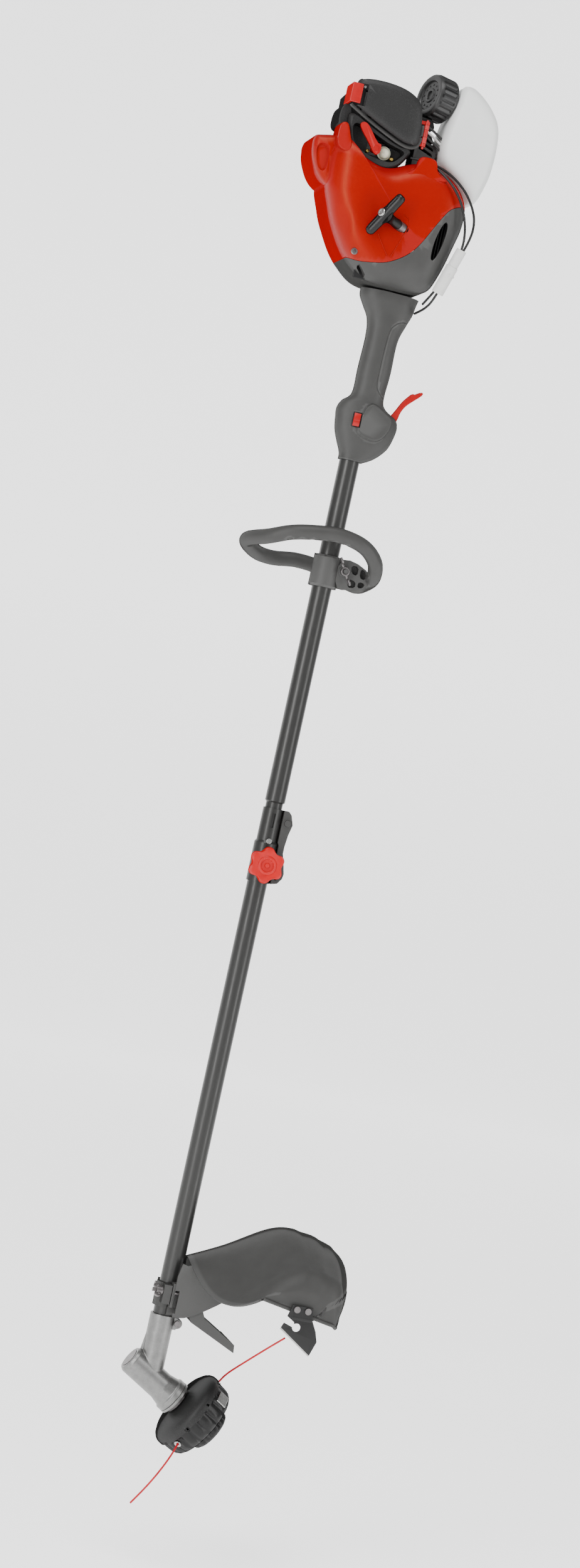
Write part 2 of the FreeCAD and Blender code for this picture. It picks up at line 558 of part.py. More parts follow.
lid_outline = [(-105, 466), (-104.5, 484), (-103, 499), (-80, 504), (-50, 504), (-25, 495),
               (-14, 485), (-10.5, 470), (-9, 452), (-9.5, 437), (-18, 431.5), (-32, 433),
               (-60, 444.5), (-80, 453.5), (-98, 463)]
LID_CENTRE = (-57, 468)
lid = pillow(lid_outline, [(-60, 0.88), (-54, 0.97), (-47, 1.0), (-32, 1.0)], LID_CENTRE).cut(
    pillow(lid_outline, [(-57.5, 0.88), (-52, 0.97), (-46, 1.0), (-31, 1.0)], LID_CENTRE, 2.5))
PIN_X, PIN_Y = -4.5, -46


def knuckles(spans, toward):
    """Hinge knuckles about the lid's pin, each with an arm to its own leaf."""
    parts = []
    for low, high in spans:
        parts += [cylinder(3.2, high - low, (PIN_X, PIN_Y, low)), block(toward[0] + (low,), toward[1] + (high,))]
    return cut(fuse(*parts), cylinder(1.55, 60, (PIN_X, PIN_Y, 425)))


lid_arms = knuckles([(437, 441), (449, 458), (464, 468)], ((-11, -47.5), (-5, -44.5)))
node(fuse(freeform(lid, "lid"), lid_arms), "filter_cover")
hinge_lugs = knuckles([(441.3, 448.7), (458.3, 463.7)], ((-6.5, -46), (-2.5, -31.5)))
lid_pin = cylinder(1.5, 36, (PIN_X, PIN_Y, 434))
node(fuse(block((-109, -63.4, 466), (-105.7, -27, 490)), block((-107, -63.4, 466), (-97, -60.4, 490)),
          cylinder(1.5, 24, (-97, -61.9, 466))), "cover_latch")

# ---------------------------------------------------------------- fuel tank and cap
tank_y = float(D.tank_half_y)
tank_wall = float(D.tank_wall)
tank_outline = [(35, 526), (45, 529), (60, 521), (75, 508), (88, 490), (93, 465), (92, 430),
                (88, 410), (81, 388), (73, 386), (66, 393), (54, 405), (40, 417), (27, 424),
                (23, 440), (23, 455), (26, 474), (32, 500)]
TANK_CENTRE = (58, 460)
CAP = Vec(-0.93, -0.34, 0.10).normalize()
cap_base = Vec(20, -6, 505)
tank_outer = pillow(tank_outline, [(-tank_y, 0.9), (-tank_y + 8, 1.0), (tank_y - 8, 1.0), (tank_y, 0.9)],
                    TANK_CENTRE)
tank_inner = pillow(tank_outline, [(-tank_y + tank_wall, 0.9), (-tank_y + 9, 1.0), (tank_y - 9, 1.0),
                                   (tank_y - tank_wall, 0.9)], TANK_CENTRE, tank_wall)
neck = Part.makeCylinder(17, 26, cap_base - CAP * 20, CAP)
neck_bore = Part.makeCylinder(14.5, 40, cap_base - CAP * 28, CAP)
node(freeform(tank_outer.fuse(neck).cut(tank_inner).cut(neck_bore), "tank"), "fuel_tank")
cap_r = D.cap_radius
cap_body = turned("cap", [(0, D.cap_depth - 4), (cap_r - 3.5, D.cap_depth - 4), (cap_r - 3.5, 0),
                          (cap_r, 0), (cap_r, D.cap_depth - 2), (cap_r - 2, D.cap_depth),
                          (cap_r - 8, D.cap_depth), (cap_r - 9, D.cap_depth - 1.5),
                          (0, D.cap_depth - 1.5)], at=tuple(cap_base), turn=towards(CAP, (0, 0, 1)))
node(cap_body, "fuel_cap")
bracket_loop = [(-8, 414), (19, 414), (20, 442), (2, 470), (-8, 470)]
node(side_plate("tank_plate", [bracket_loop], Size(-18, "-18"), Size(18, "18")), "tank_bracket")

# ---------------------------------------------------------------- rear grip and controls
GRIP = [  # height, low X, high X, half width
    (44, -15, 15.5, 15), (52, -15.5, 29, 16), (66, -22, 42, 18), (80, -27.5, 47.5, 19),
    (96, -30, 50, 19), (106, -30.5, 46, 19), (116, -26, 30, 18), (128, -15.5, 25.5, 17),
    (160, -15, 27, 17.5), (200, -14, 27, 17.5), (222, -17, 33, 18.5), (236, -25, 38, 20),
    (248, -32, 40, 22), (257, -33, 42, 23)]
width_scale = float(D.grip_half_y) / 19.0
tube_growth = float(tube_r) - 12.7


def oval(height, low, high, half):
    """An oval round the boom at one height, as a closed 32-sided outline."""
    middle, reach = (low + high) / 2.0, (high - low) / 2.0 + tube_growth
    width = half * width_scale + tube_growth
    points = [Vec(middle + reach * math.cos(math.radians(a)), width * math.sin(math.radians(a)), height)
              for a in [11.25 * i for i in range(32)]]
    return Part.makePolygon(points + points[:1])


grip_solid = freeform(Part.makeLoft([oval(*row) for row in GRIP], True, True), "grip_solid")
grip_core = cut(grip_solid, cylinder(tube_r, 240, (0, 0, 30)), block((33, -6.5, 98), (60, 6.5, 126)),
                block((-11.5, -30, 84.5), (-0.5, -15.5, 103.5)))
node(cut(grip_core, block((-60, 0, 30), (80, 40, 270))), "grip_near_half")
node(cut(grip_core, block((-60, -40, 30), (80, 0, 270))), "grip_far_half")
half_trigger = D.trigger_thick / 2
trigger_loop = [(37, 100), (44, 100), (47, 106), (48.5, 117), (53, 126), (62, 135.5), (72.5, 145),
                (70.5, 148), (60, 140), (50, 130), (44.5, 119), (40, 111), (36, 107)]
node(side_plate("trigger_blade", [trigger_loop, [(40.5, 103.5), 1.55]], -half_trigger, half_trigger),
     "trigger")
trigger_pin = cylinder(1.5, D.trigger_thick + 2.6, (40.5, -(half_trigger + 1.3), 103.5), (0, 1, 0))
node(together(hinge_lugs, lid_pin, trigger_pin), "hinge_pins")
node(fuse(block((-10, -20.5, 86), (-2, -17, 102)), cylinder(2.5, 8, (-10, -18.5, 94), (1, 0, 0))),
     "stop_switch")

# ---------------------------------------------------------------- loop handle
LOOP = [(-105.5, 0, -80), (-85, -0.66, -72), (-60, -0.92, -62), (-30, -1, -56), (0, -1, -53.5),
        (30, -0.97, -60), (50, -0.78, -75), (57.5, -0.36, -92), (57.5, 0.36, -100), (50, 0.78, -104),
        (30, 0.97, -98), (0, 1, -90), (-30, 1, -88), (-60, 0.92, -92), (-85, 0.66, -90)]
loop_points = [Vec(x, y * float(D.loop_half_y), z) for x, y, z in LOOP]
loop_curve = Part.BSplineCurve()
loop_curve.interpolate(Points=loop_points, PeriodicFlag=True)


def loop_section(share):
    """The bar's round section, as 20 corners, at a share of the way round the loop."""
    at = loop_curve.FirstParameter + share * (loop_curve.LastParameter - loop_curve.FirstParameter)
    along = loop_curve.tangent(at)[0]
    across = along.cross(Vec(0, 0, 1)).normalize()
    up = across.cross(along)
    reach = float(D.loop_section)
    points = [loop_curve.value(at) + (across * math.cos(math.radians(a)) + up * math.sin(math.radians(a))) * reach
              for a in range(0, 360, 18)]
    return Part.makePolygon(points + points[:1])


loop_halves = [Part.makeLoft([loop_section(start + i / 60.0) for i in range(31)], True, True)
               for start in (0.0, 0.5)]
loop_tube = loop_halves[0].fuse(loop_halves[1])
clamp_low, clamp_high = Size(-117, "-117"), Size(-117, "-117") + D.clamp_length
clamp_bore = cylinder(tube_r + 0.15, D.clamp_length + 2, (0, 0, clamp_low - 1))
near_shell = cylinder(tube_r + 5.3, D.clamp_length, (0, 0, clamp_low))
web_loop = [(14, -80), (30, -80), (52, -90), (52, -106), (30, -114), (14, -114)]
web_windows = [[(28, -86), (36, -88), (36, -97), (28, -95)], [(28, -100), (36, -102), (36, -108), (28, -109)]]
web = side_plate("loop_web", [web_loop] + web_windows, Size(-14, "-14"), Size(-0.5, "-0.5"))
bolt_hole = cylinder(3.2, 60, (20, -30, -93), (0, 1, 0))
nut_boss = cylinder(6.5, 3, (20, -13.5, -93), (0, -1, 0))
loop_body = cut(fuse(near_shell, web, nut_boss), block((-40, -0.5, -130), (30, 40, -60)), clamp_bore, bolt_hole)
node(fuse(freeform(loop_tube, "loop_tube"), loop_body), "loop_handle")
far_clamp = fuse(cylinder(tube_r + 5.3, D.clamp_length, (0, 0, clamp_low)), block((8, 0, -106), (28, 11, -80)))
far_half = cut(far_clamp, block((-40, -40, -130), (40, 0.5, -60)), clamp_bore, bolt_hole)
node(together(far_half, fuse(cylinder(3, 42, (20, -28, -93), (0, 1, 0)), cylinder(6, 3.5, (20, 11.2, -93), (0, 1, 0)))),
     "loop_clamp")


def wing_nut(at, axis, reach, span_angle, hole):
    """A wing nut on an axis: a hub and two wings that lean outwards."""
    turn = towards(axis, (0, 0, 1))
    spread = turn.multVec(Vec(math.cos(math.radians(span_angle)), math.sin(math.radians(span_angle)), 0))
    hub = cylinder(5.5, 8, at, axis)
    wings = []
    for side in (1, -1):
        tip = Vec(*at) + Vec(*axis) * 7 + spread * side * (reach - 4)
        wings.append(cylinder(4.4, 2.4, tuple(tip - spread.cross(Vec(*axis)) * 1.2), tuple(spread.cross(Vec(*axis)))))
        arm = Vec(*at) + Vec(*axis) * 4.5 - spread.cross(Vec(*axis)) * 1.2
        wings.append(cylinder(1.8, reach - 4, tuple(Vec(*at) + Vec(*axis) * 5), tuple(spread * side)))
    return cut(fuse(hub, *wings), cylinder(hole, 20, tuple(Vec(*at) - Vec(*axis)), axis))


node(wing_nut((20, -16.7, -93), (0, -1, 0), 18, 30, 3.05), "loop_wing_nut")

# ---------------------------------------------------------------- gear case and head
g = math.radians(float(D.head_tilt))
SPIN = Vec(math.sin(g), 0, -math.cos(g))
RISE = Vec(math.cos(g), 0, math.sin(g))
HEAD = FreeCAD.Rotation(RISE, Vec(0, -1, 0), SPIN, "ZXY")
GEAR_AT = (0, 0, gear_z)
gear_centre = Vec(0, 0, float(gear_z))
arbor_r = D.arbor_dia / 2


def on_head(u, d, along):
    """A point given by rise, near-side offset and distance along the head's axis."""
    return gear_centre + RISE * u - Vec(0, 1, 0) * d + SPIN * along


spindle = turned("spindle_case", [(0, -34), (15.5, -34), (18, -30), (18, 20), (20.5, 32), (22.5, 34),
                                  (22.5, 41), (0, 41)], at=GEAR_AT, turn=HEAD)
case_stem = cylinder(tube_r + 2.8, 70, (0, 0, gear_z + 9))
stem_ear = fuse(cylinder(6.5, 12, (19.5, -6, gear_z + 70), (0, 1, 0)),
                block((8, -6, gear_z + 62), (19, 6, gear_z + 78)))
tube_seat = cylinder(tube_r, 60, (0, 0, D.lower_end - 0.5))
shaft_seat = cylinder(10, D.lower_end - gear_z - 24, (0, 0, gear_z + 24))
pinion_room = cylinder(8.6, 40, (0, 0, gear_z))
case_split = block((8, -0.8, gear_z + 58), (30, 0.8, gear_z + 82))
ear_hole = cylinder(2.6, 40, (19.5, -20, gear_z + 70), (0, 1, 0))
room = turned("spindle_room", [(0, -35), (12, -35), (12, 4), (arbor_r + 1, 5), (arbor_r + 1, 16),
                               (14, 16), (14, 42), (0, 42)], at=GEAR_AT, turn=HEAD)
node(cut(fuse(spindle, case_stem, stem_ear), tube_seat, shaft_seat, pinion_room, case_split, ear_hole, room),
     "gear_case")
case_bolt = fuse(cylinder(2.5, 14, (19.5, -7, gear_z + 70), (0, 1, 0)),
                 cylinder(4.2, 3, (19.5, -9.2, gear_z + 70), (0, 1, 0)))
case_cap = turned("case_cap", [(0, -34.5), (12, -34.5), (12, -32), (0, -32)], at=GEAR_AT, turn=HEAD)
arbor_run = arbor_r + D.running_gap
arbor_bearings = turned("case_bearings", [(arbor_run, -31), (12, -31), (12, -25), (arbor_run, -25)],
                        [(arbor_run, 17), (14, 17), (14, 25), (arbor_run, 25)],
                        [(arbor_run, 32), (14, 32), (14, 40), (arbor_run, 40)], at=GEAR_AT, turn=HEAD)
node(together(lower_bushings, arbor_bearings), "lower_bearings")
arbor = turned("arbor_bar", [(0, -31), (arbor_r, -31), (arbor_r, 58), (0, 58)], at=GEAR_AT, turn=HEAD)
bevel = (turned("bevel", [(arbor_r, -19), (9, -19), (10, -14.8), (6.7, -9.9), (arbor_r, -9.9)],
            at=GEAR_AT, turn=HEAD))
collar = (turned("collar", [(arbor_r, 41.6), (17, 41.6), (17, 49), (arbor_r, 49)], at=GEAR_AT, turn=HEAD))
rim_r = D.cover_radius
top_s = D.cover_top
node(turned("cover", [(arbor_r, top_s + 4), (20, top_s + 4), (40, top_s + 8), (rim_r - 3, top_s + 14),
                      (rim_r, top_s + 18), (rim_r, D.line_plane - 5.8), (rim_r - 2.5, D.line_plane - 5.8),
                      (rim_r - 2.5, top_s + 19), (rim_r - 5, top_s + 16.5), (39, top_s + 10.5),
                      (20, top_s + 7), (9, top_s + 7), (9, D.line_plane - 2), (arbor_r, D.line_plane - 2)],
            at=GEAR_AT, turn=HEAD), "head_cover")
shell_r = rim_r - 2
housing = turned("housing", [(shell_r - 3, D.line_plane - 5.5), (shell_r, D.line_plane - 5.5),
                             (shell_r, D.housing_end - 6), (shell_r - 7, D.housing_end),
                             (22, D.housing_end), (22, D.housing_end - 3.5), (shell_r - 3, D.housing_end - 3.5)],
                 at=GEAR_AT, turn=HEAD)
EXITS = [(-15.2, "a"), (135.5, "b")]


def exit_point(angle, reach):
    """The point on the line plane at an angle round the head's axis."""
    return on_head(reach * math.cos(math.radians(angle)), reach * math.sin(math.radians(angle)),
                   float(D.line_plane))


eyelet_holes, eyelets = [], []
for angle, name in EXITS:
    start = exit_point(angle, float(shell_r) - 5)
    outward = exit_point(angle, float(shell_r)) - start
    eyelet_holes.append(cylinder(3.6, 12, tuple(start), tuple(outward)))
    eyelets.append(cut(cylinder(3.6, 5.5, tuple(start + outward * 0.3), tuple(outward)),
                       cylinder(1.5, 12, tuple(start - outward * 0.4), tuple(outward))))
node(together(cut(housing, *eyelet_holes), *eyelets), "spool_housing")
spool_low = D.line_plane - 10
spool_high = D.housing_end - 8
spool = (turned("spool", [(10, spool_low), (45, spool_low), (45, spool_low + 2), (20, spool_low + 2),
                      (20, spool_high - 2), (45, spool_high - 2), (45, spool_high), (10, spool_high)],
            at=GEAR_AT, turn=HEAD))
coil_of_line = (turned("coil", [(20, spool_low + 2.2), (38, spool_low + 2.2), (38, spool_high - 2.2), (20, spool_high - 2.2)],
            at=GEAR_AT, turn=HEAD))
node(together(spool, coil_of_line), "line_spool")
spool_spring = (turned("spool_spring", [(11.5, top_s + 7.3), (15, top_s + 7.3), (15, spool_low - 3.6), (11.5, spool_low - 3.6)],
            at=GEAR_AT, turn=HEAD))
node(together(arbor, bevel, collar, spool_spring), "head_arbor")
node(turned("bump", [(0, spool_high + 0.2), (21, spool_high + 0.2), (21, D.housing_end + 3.6),
                     (D.bump_radius, D.housing_end + 3.6), (D.bump_radius, D.bump_end - 8),
                     (D.bump_radius - 3, D.bump_end - 3), (18, D.bump_end), (0, D.bump_end)],
            at=GEAR_AT, turn=HEAD), "bump_knob")

# ---------------------------------------------------------------- shield and line cutter
SHIELD = [  # share of the half width, then the outer line's (X, Z) corners
    (0.0, [(14, -967), (60, -945), (115, -914), (150, -910), (190, -917), (212, -932), (218, -962), (214, -986)]),
    (0.52, [(28, -1000), (62, -975), (112, -938), (150, -927), (190, -931), (208, -945), (213, -972), (208, -1000)]),
    (1.0, [(92, -986), (112, -967), (134, -956), (156, -951), (178, -953), (190, -963), (194, -985), (190, -1004)])]
INWARD = [(0.3, -1), (0.4, -1), (0.2, -1), (0, -1), (-0.5, -0.9), (-1, -0.4), (-1, 0), (-1, 0)]
shield_wall = float(D.shield_wall)
shield_y = float(D.shield_half_y)


def shield_section(share, outer, side):
    inner = [(x + dx * shield_wall, z + dz * shield_wall) for (x, z), (dx, dz) in zip(outer, INWARD)]
    points = [Vec(x, side * share * shield_y, z) for x, z in outer + inner[::-1]]
    return Part.makePolygon(points + points[:1])



def lowered(solid):
    """The piece, moved along the boom with the lower tube's end."""
    return place(solid, (0, 0, D.lower_end + 1066))


sections = [shield_section(share, outer, -1) for share, outer in SHIELD[::-1]]
sections += [shield_section(share, outer, 1) for share, outer in SHIELD[1:]]
roof = freeform(Part.makeLoft(sections, True, True), "shield_roof")
end_loop = SHIELD[2][1]
near_wall = side_plate("near_wall", [end_loop], -D.shield_half_y, -D.shield_half_y + D.shield_wall)
far_wall = side_plate("far_wall", [end_loop], D.shield_half_y - D.shield_wall, D.shield_half_y)
rib_loop = [(14, -969), (60, -950), (75, -962), (52, -1000), (33, -1038), (14, -1038)]
rib = side_plate("rib", [rib_loop], Size(-4, "-4"), Size(4, "4"))
lip = side_plate("lip", [[(28, -1037), (32, -1044), (93, -1072), (92, -1062), (48, -1036), (40, -1020)]],
                 Size(-26, "-26"), Size(26, "26"))
lip_room = side_plate("lip_room", [[(31, -1034), (35, -1040), (89, -1066), (88, -1062), (47, -1033), (39, -1020)]],
                      Size(-23, "-23"), Size(23, "23"))
saddle = cylinder(tube_r + 4.3, 41, (0, 0, -1042))
saddle_ears = block((0.5, -27, -1030), (9, 27, -1000))
shield_solid = cut(fuse(roof, near_wall, far_wall, rib, cut(lip, lip_room), saddle, saddle_ears),
                   cylinder(tube_r, 100, (0, 0, -1060)), block((-30, -40, -1060), (0.5, 40, -950)),
                   cylinder(2.7, 40, (-10, -21, -1012), (1, 0, 0)), cylinder(2.7, 40, (-10, 21, -1012), (1, 0, 0)))
node(lowered(shield_solid), "shield")
strap = cut(fuse(cylinder(tube_r + 3.3, 30, (0, 0, -1033)), block((-10.5, -27, -1027), (-0.5, 27, -1003))),
            cylinder(tube_r, 60, (0, 0, -1050)), block((-0.5, -40, -1060), (40, 40, -990)),
            cylinder(2.7, 40, (-30, -21, -1012), (1, 0, 0)), cylinder(2.7, 40, (-30, 21, -1012), (1, 0, 0)))
node(lowered(strap), "shield_strap")
shield_bolts = [fuse(cylinder(2.5, 37, (-24, -21, -1012), (1, 0, 0)), cylinder(5, 3, (9.1, -21, -1012), (1, 0, 0))),
                fuse(cylinder(2.5, 20, (-10.9, 21, -1012), (1, 0, 0)), cylinder(5, 3, (9.1, 21, -1012), (1, 0, 0)),
                     cylinder(4.5, 3.4, (-14, 21, -1012), (1, 0, 0)))]
node(lowered(wing_nut((-10.8, -21, -1012), (-1, 0, 0), 12, 60, 2.55)), "shield_wing_nut")
cutter_loop = [(132, -985), (158, -985), (160, -1000), (167, -1015), (171, -1025), (165, -1043), (123, -1015)]
cutter_y = -D.shield_half_y
cutter = side_plate("cutter", [cutter_loop, [(140, -1014), 5]], cutter_y - 2.2, cutter_y - 0.2)
node(together(lowered(together(cutter))), "line_cutter")
cutter_screws = [cylinder(4, 2.5, (x, cutter_y - 4.8, -990), (0, 1, 0)) for x in (138, 152)]
node(together(case_bolt, case_cap, lowered(together(*shield_bolts, *cutter_screws))), "lower_fasteners")

# ---------------------------------------------------------------- cable, wires and cutting line


def cord(label, points, radius):
    """A tube along straight runs joined by the largest tangent arcs that they allow."""
    edges, start = [], points[0]
    radii, length = [], 0.0
    for before, corner, after in zip(points, points[1:], points[2:]):
        back, ahead = before - corner, after - corner
        turn = math.pi - back.getAngle(ahead)
        reach = 0.45 * min(back.Length, ahead.Length)
        bend = reach / math.tan(turn / 2)
        radii.append(bend)
        arc_in = corner + back.normalize() * reach
        arc_out = corner + ahead.normalize() * reach
        middle_way = (back + ahead).normalize()
        centre = corner + middle_way * (bend / math.cos(turn / 2))
        middle = centre - middle_way * bend
        edges += [Part.LineSegment(start, arc_in).toShape(), Part.Arc(arc_in, middle, arc_out).toShape()]
        start = arc_out
    edges.append(Part.LineSegment(start, points[-1]).toShape())
    path = Part.Wire(edges)
    ring = Part.Wire([Part.makeCircle(radius, points[0], points[1] - points[0])])
    tube = path.makePipeShell([ring], True, False)
    expected = math.pi * radius ** 2 * path.Length
    print("%s: length %.1f mm, least radius %.1f mm, volume ratio %.4f"
          % (label, path.Length, min(radii), tube.Volume / expected))
    return freeform(tube, label)


THROTTLE = [(-15, -41, 421), (2, -46, 421), (20, -48, 418), (36, -49, 412.5), (50, -49.5, 404),
            (62, -50, 393.5), (72, -50, 380), (78.5, -50, 366), (80, -50, 351), (77.5, -49, 336),
            (73, -47, 321), (67.5, -44, 306), (61, -38, 291), (56, -31, 277), (51, -23, 265),
            (45, -14, 253)]
STOP_UPPER = [(10, -50, 419), (28, -60.5, 407), (43, -65.5, 393), (55, -68, 376), (63, -69, 357),
              (67, -68.5, 339), (67.5, -66, 322)]
STOP_LOWER = [(51.5, -53.5, 265), (49, -45, 254), (45.5, -34, 247), (41.5, -22, 242.5), (38.5, -11, 240)]
wire_r = 1.5
node(cord("cable_tube", [Vec(*q) for q in THROTTLE], wire_r), "throttle_cable")
node(together(cord("wire_upper", [Vec(*q) for q in STOP_UPPER], wire_r),
              cord("wire_lower", [Vec(*q) for q in STOP_LOWER], wire_r)), "stop_wires")
plug_top, plug_foot = Vec(*STOP_UPPER[-1]), Vec(*STOP_LOWER[0])
plug_way = plug_foot - plug_top
node(fuse(cylinder(6.5, 24, tuple(plug_top), tuple(plug_way)),
          cylinder(7.6, plug_way.Length - 23, tuple(plug_top + plug_way * (23 / plug_way.Length)),
                   tuple(plug_way))), "wire_connector")

LINE_A = [(42.5, -11.5), (54, -14.7), (66, -11.5), (82, 3.5), (107, 29), (131, 54), (148, 73)]
LINE_B = [(-30.5, 30), (-39.5, 38.8), (-52, 48.5), (-70, 56), (-91, 59.5), (-110, 58.5), (-128, 55)]
line_r = float(D.line_dia) / 2
strands = [cord("strand", [on_head(u, d, float(D.line_plane)) for u, d in run], line_r)
           for run in (LINE_A, LINE_B)]
node(together(*strands), "trimmer_line")

# ---------------------------------------------------------------- check and write
doc.recompute()
for obj in doc.Objects:
    if "Invalid" in obj.State or "Error" in obj.State:
        raise RuntimeError("%s failed to build" % obj.Label)
for piece in NODES:
    if piece.Shape.isNull() or not piece.Shape.isValid() or piece.Shape.Volume <= 0:
        raise RuntimeError("%s has no valid shape" % piece.Label)
os.makedirs("parts", exist_ok=True)
for piece in NODES:
    piece.Shape.exportStep("parts/%s.step" % piece.Label)
print(len(NODES), "pieces written")
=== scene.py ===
"""A petrol string trimmer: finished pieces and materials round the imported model. Sizes are in millimetres."""
import json
import math

import bmesh
import bpy
from mathutils import Matrix, Vector

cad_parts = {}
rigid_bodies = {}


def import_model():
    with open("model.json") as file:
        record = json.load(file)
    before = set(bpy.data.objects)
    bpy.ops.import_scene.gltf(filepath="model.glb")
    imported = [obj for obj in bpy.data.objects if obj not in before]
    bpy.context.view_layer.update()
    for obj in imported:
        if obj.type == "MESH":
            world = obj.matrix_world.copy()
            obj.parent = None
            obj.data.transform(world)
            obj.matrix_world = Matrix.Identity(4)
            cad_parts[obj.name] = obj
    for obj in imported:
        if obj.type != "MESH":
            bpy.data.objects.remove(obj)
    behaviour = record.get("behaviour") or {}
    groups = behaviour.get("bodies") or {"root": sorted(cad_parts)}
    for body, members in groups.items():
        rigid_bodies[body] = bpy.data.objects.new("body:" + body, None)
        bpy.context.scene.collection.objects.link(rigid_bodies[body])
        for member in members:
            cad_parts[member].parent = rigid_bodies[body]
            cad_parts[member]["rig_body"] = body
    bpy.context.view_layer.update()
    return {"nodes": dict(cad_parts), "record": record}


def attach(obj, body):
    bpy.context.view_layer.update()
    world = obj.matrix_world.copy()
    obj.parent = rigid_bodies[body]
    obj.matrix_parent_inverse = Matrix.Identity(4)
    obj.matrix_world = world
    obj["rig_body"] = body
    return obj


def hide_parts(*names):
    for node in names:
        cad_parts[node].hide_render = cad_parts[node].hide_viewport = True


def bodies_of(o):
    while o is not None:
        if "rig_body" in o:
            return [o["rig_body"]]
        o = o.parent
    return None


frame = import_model()
MM = 0.001
TUBE_R = 12.7
GRIP_BORE = TUBE_R + 0.05
LOOP_BORE = TUBE_R + 0.15


# ---------------------------------------------------------------- materials
def finish(name, colour, rough, grain=0.0, size=0.6, mottle=0.08, patch=20.0, speck=0.0, wear=0.0,
           stretch=1.0, **sockets):
    """A material with broad colour patches, fine grain in colour, gloss and bump, and paler edges."""
    material = bpy.data.materials.new(name)
    material.use_nodes = True
    nodes, links = material.node_tree.nodes, material.node_tree.links
    shader = nodes["Principled BSDF"]
    coords = nodes.new("ShaderNodeTexCoord")
    mapping = nodes.new("ShaderNodeMapping")
    mapping.inputs["Scale"].default_value = (1, 1, stretch)
    links.new(coords.outputs["Object"], mapping.inputs["Vector"])

    def noise(feature, detail):
        texture = nodes.new("ShaderNodeTexNoise")
        texture.inputs["Scale"].default_value = 1 / (feature * MM)
        texture.inputs["Detail"].default_value = detail
        links.new(mapping.outputs["Vector"], texture.inputs["Vector"])
        return texture.outputs["Fac"]

    def mix(factor, a, b):
        blend = nodes.new("ShaderNodeMix")
        blend.data_type = "RGBA"
        for socket, value in zip((0, 6, 7), (factor, a, b)):
            if hasattr(value, "is_linked"):
                links.new(value, blend.inputs[socket])
            else:
                blend.inputs[socket].default_value = value
        return blend.outputs[2]

    def spread(source, low, high, to_low, to_high):
        scale = nodes.new("ShaderNodeMapRange")
        for socket, value in zip(range(1, 5), (low, high, to_low, to_high)):
            scale.inputs[socket].default_value = value
        links.new(source, scale.inputs[0])
        return scale.outputs[0]

    fine, broad = noise(size, 3), noise(patch, 2)
    dark = [c * (1 - mottle) for c in colour] + [1]
    light = [min(1, c * (1 + mottle)) for c in colour] + [1]
    paint = mix(spread(broad, 0.3, 0.7, 0, 1), dark, light)
    if speck:
        pale = [min(1, c * 1.6 + 0.05) for c in colour] + [1]
        paint = mix(spread(fine, 0.55, 0.75, 0, speck), paint, pale)
    if wear:
        geometry = nodes.new("ShaderNodeNewGeometry")
        pale = [min(1, c * 1.5 + 0.06) for c in colour] + [1]
        paint = mix(spread(geometry.outputs["Pointiness"], 0.53, 0.60, 0, wear), paint, pale)
    links.new(paint, shader.inputs["Base Color"])
    gloss = spread(fine, 0.3, 0.7, max(0.02, rough - 0.06), min(1, rough + 0.06))
    links.new(gloss, shader.inputs["Roughness"])
    if grain:
        bump = nodes.new("ShaderNodeBump")
        bump.inputs["Strength"].default_value = 0.6
        bump.inputs["Distance"].default_value = grain * MM
        links.new(fine, bump.inputs["Height"])
        links.new(bump.outputs["Normal"], shader.inputs["Normal"])
    if not sockets.get("Metallic"):
        rim = nodes.new("ShaderNodeLayerWeight")
        rim.inputs["Blend"].default_value = 0.5
        level = sockets.pop("Specular_IOR_Level", 0.28)
        links.new(spread(rim.outputs["Facing"], 0.35, 0.75, level, 0.0), shader.inputs["Specular IOR Level"])
    for socket, value in sockets.items():
        shader.inputs[socket.replace("_", " ")].default_value = value
    return material


RED = finish("red_gloss", (0.24, 0.0004, 0.0008), 0.34, mottle=0.05, patch=60, grain=0.004, size=2.5,
    wear=0.1, Specular_IOR_Level=0.32, Specular_Tint=(1.0, 0.45, 0.2, 1))
CONTROL_RED = finish("control_red", (0.30, 0.0015, 0.002), 0.33, grain=0.02, wear=0.3, patch=9)
GREY = finish("grey_plastic", (0.036, 0.0358, 0.0345), 0.50, grain=0.05, size=0.7, mottle=0.06, wear=0.25)
SOFT_GREY = finish("soft_grey", (0.029, 0.0288, 0.028), 0.62, grain=0.07, size=0.5, wear=0.15)
GRAPHITE = finish("grainy_graphite", (0.0095, 0.0095, 0.0095), 0.50, grain=0.09, size=0.55, speck=0.55,
    patch=30, wear=0.25)
BLACK = finish("black_plastic", (0.0035, 0.0035, 0.0035), 0.34, grain=0.02, size=0.8, wear=0.3, patch=12)
RUBBER = finish("black_rubber", (0.013, 0.013, 0.013), 0.55, grain=0.03, size=0.5, patch=8)
SHEATH = finish("grey_sheath", (0.010, 0.010, 0.010), 0.42, grain=0.02, size=0.6, patch=10)
TUBE = finish("satin_tube", (0.026, 0.026, 0.025), 0.34, grain=0.012, size=0.9, stretch=0.05, mottle=0.1,
    patch=30, wear=0.1, Metallic=0.55)
TANK = finish("milky_tank", (0.66, 0.67, 0.66), 0.38, grain=0.05, size=1.6, mottle=0.03, patch=35,
    Subsurface_Weight=0.25, Subsurface_Radius=(0.012, 0.012, 0.012))
CAST = finish("cast_aluminium", (0.19, 0.19, 0.186), 0.38, grain=0.10, size=1.1, mottle=0.10, patch=6,
    speck=0.35, wear=0.4, Metallic=0.85)
STEEL = finish("bright_steel", (0.38, 0.38, 0.37), 0.24, grain=0.015, size=0.7, mottle=0.12, patch=5,
    wear=0.2, Metallic=1.0)
DARK_STEEL = finish("dark_steel", (0.16, 0.15, 0.15), 0.40, grain=0.03, mottle=0.25, patch=7, Metallic=0.9)
BRASS = finish("brass", (0.55, 0.38, 0.10), 0.32, grain=0.02, mottle=0.15, patch=4, Metallic=1.0)
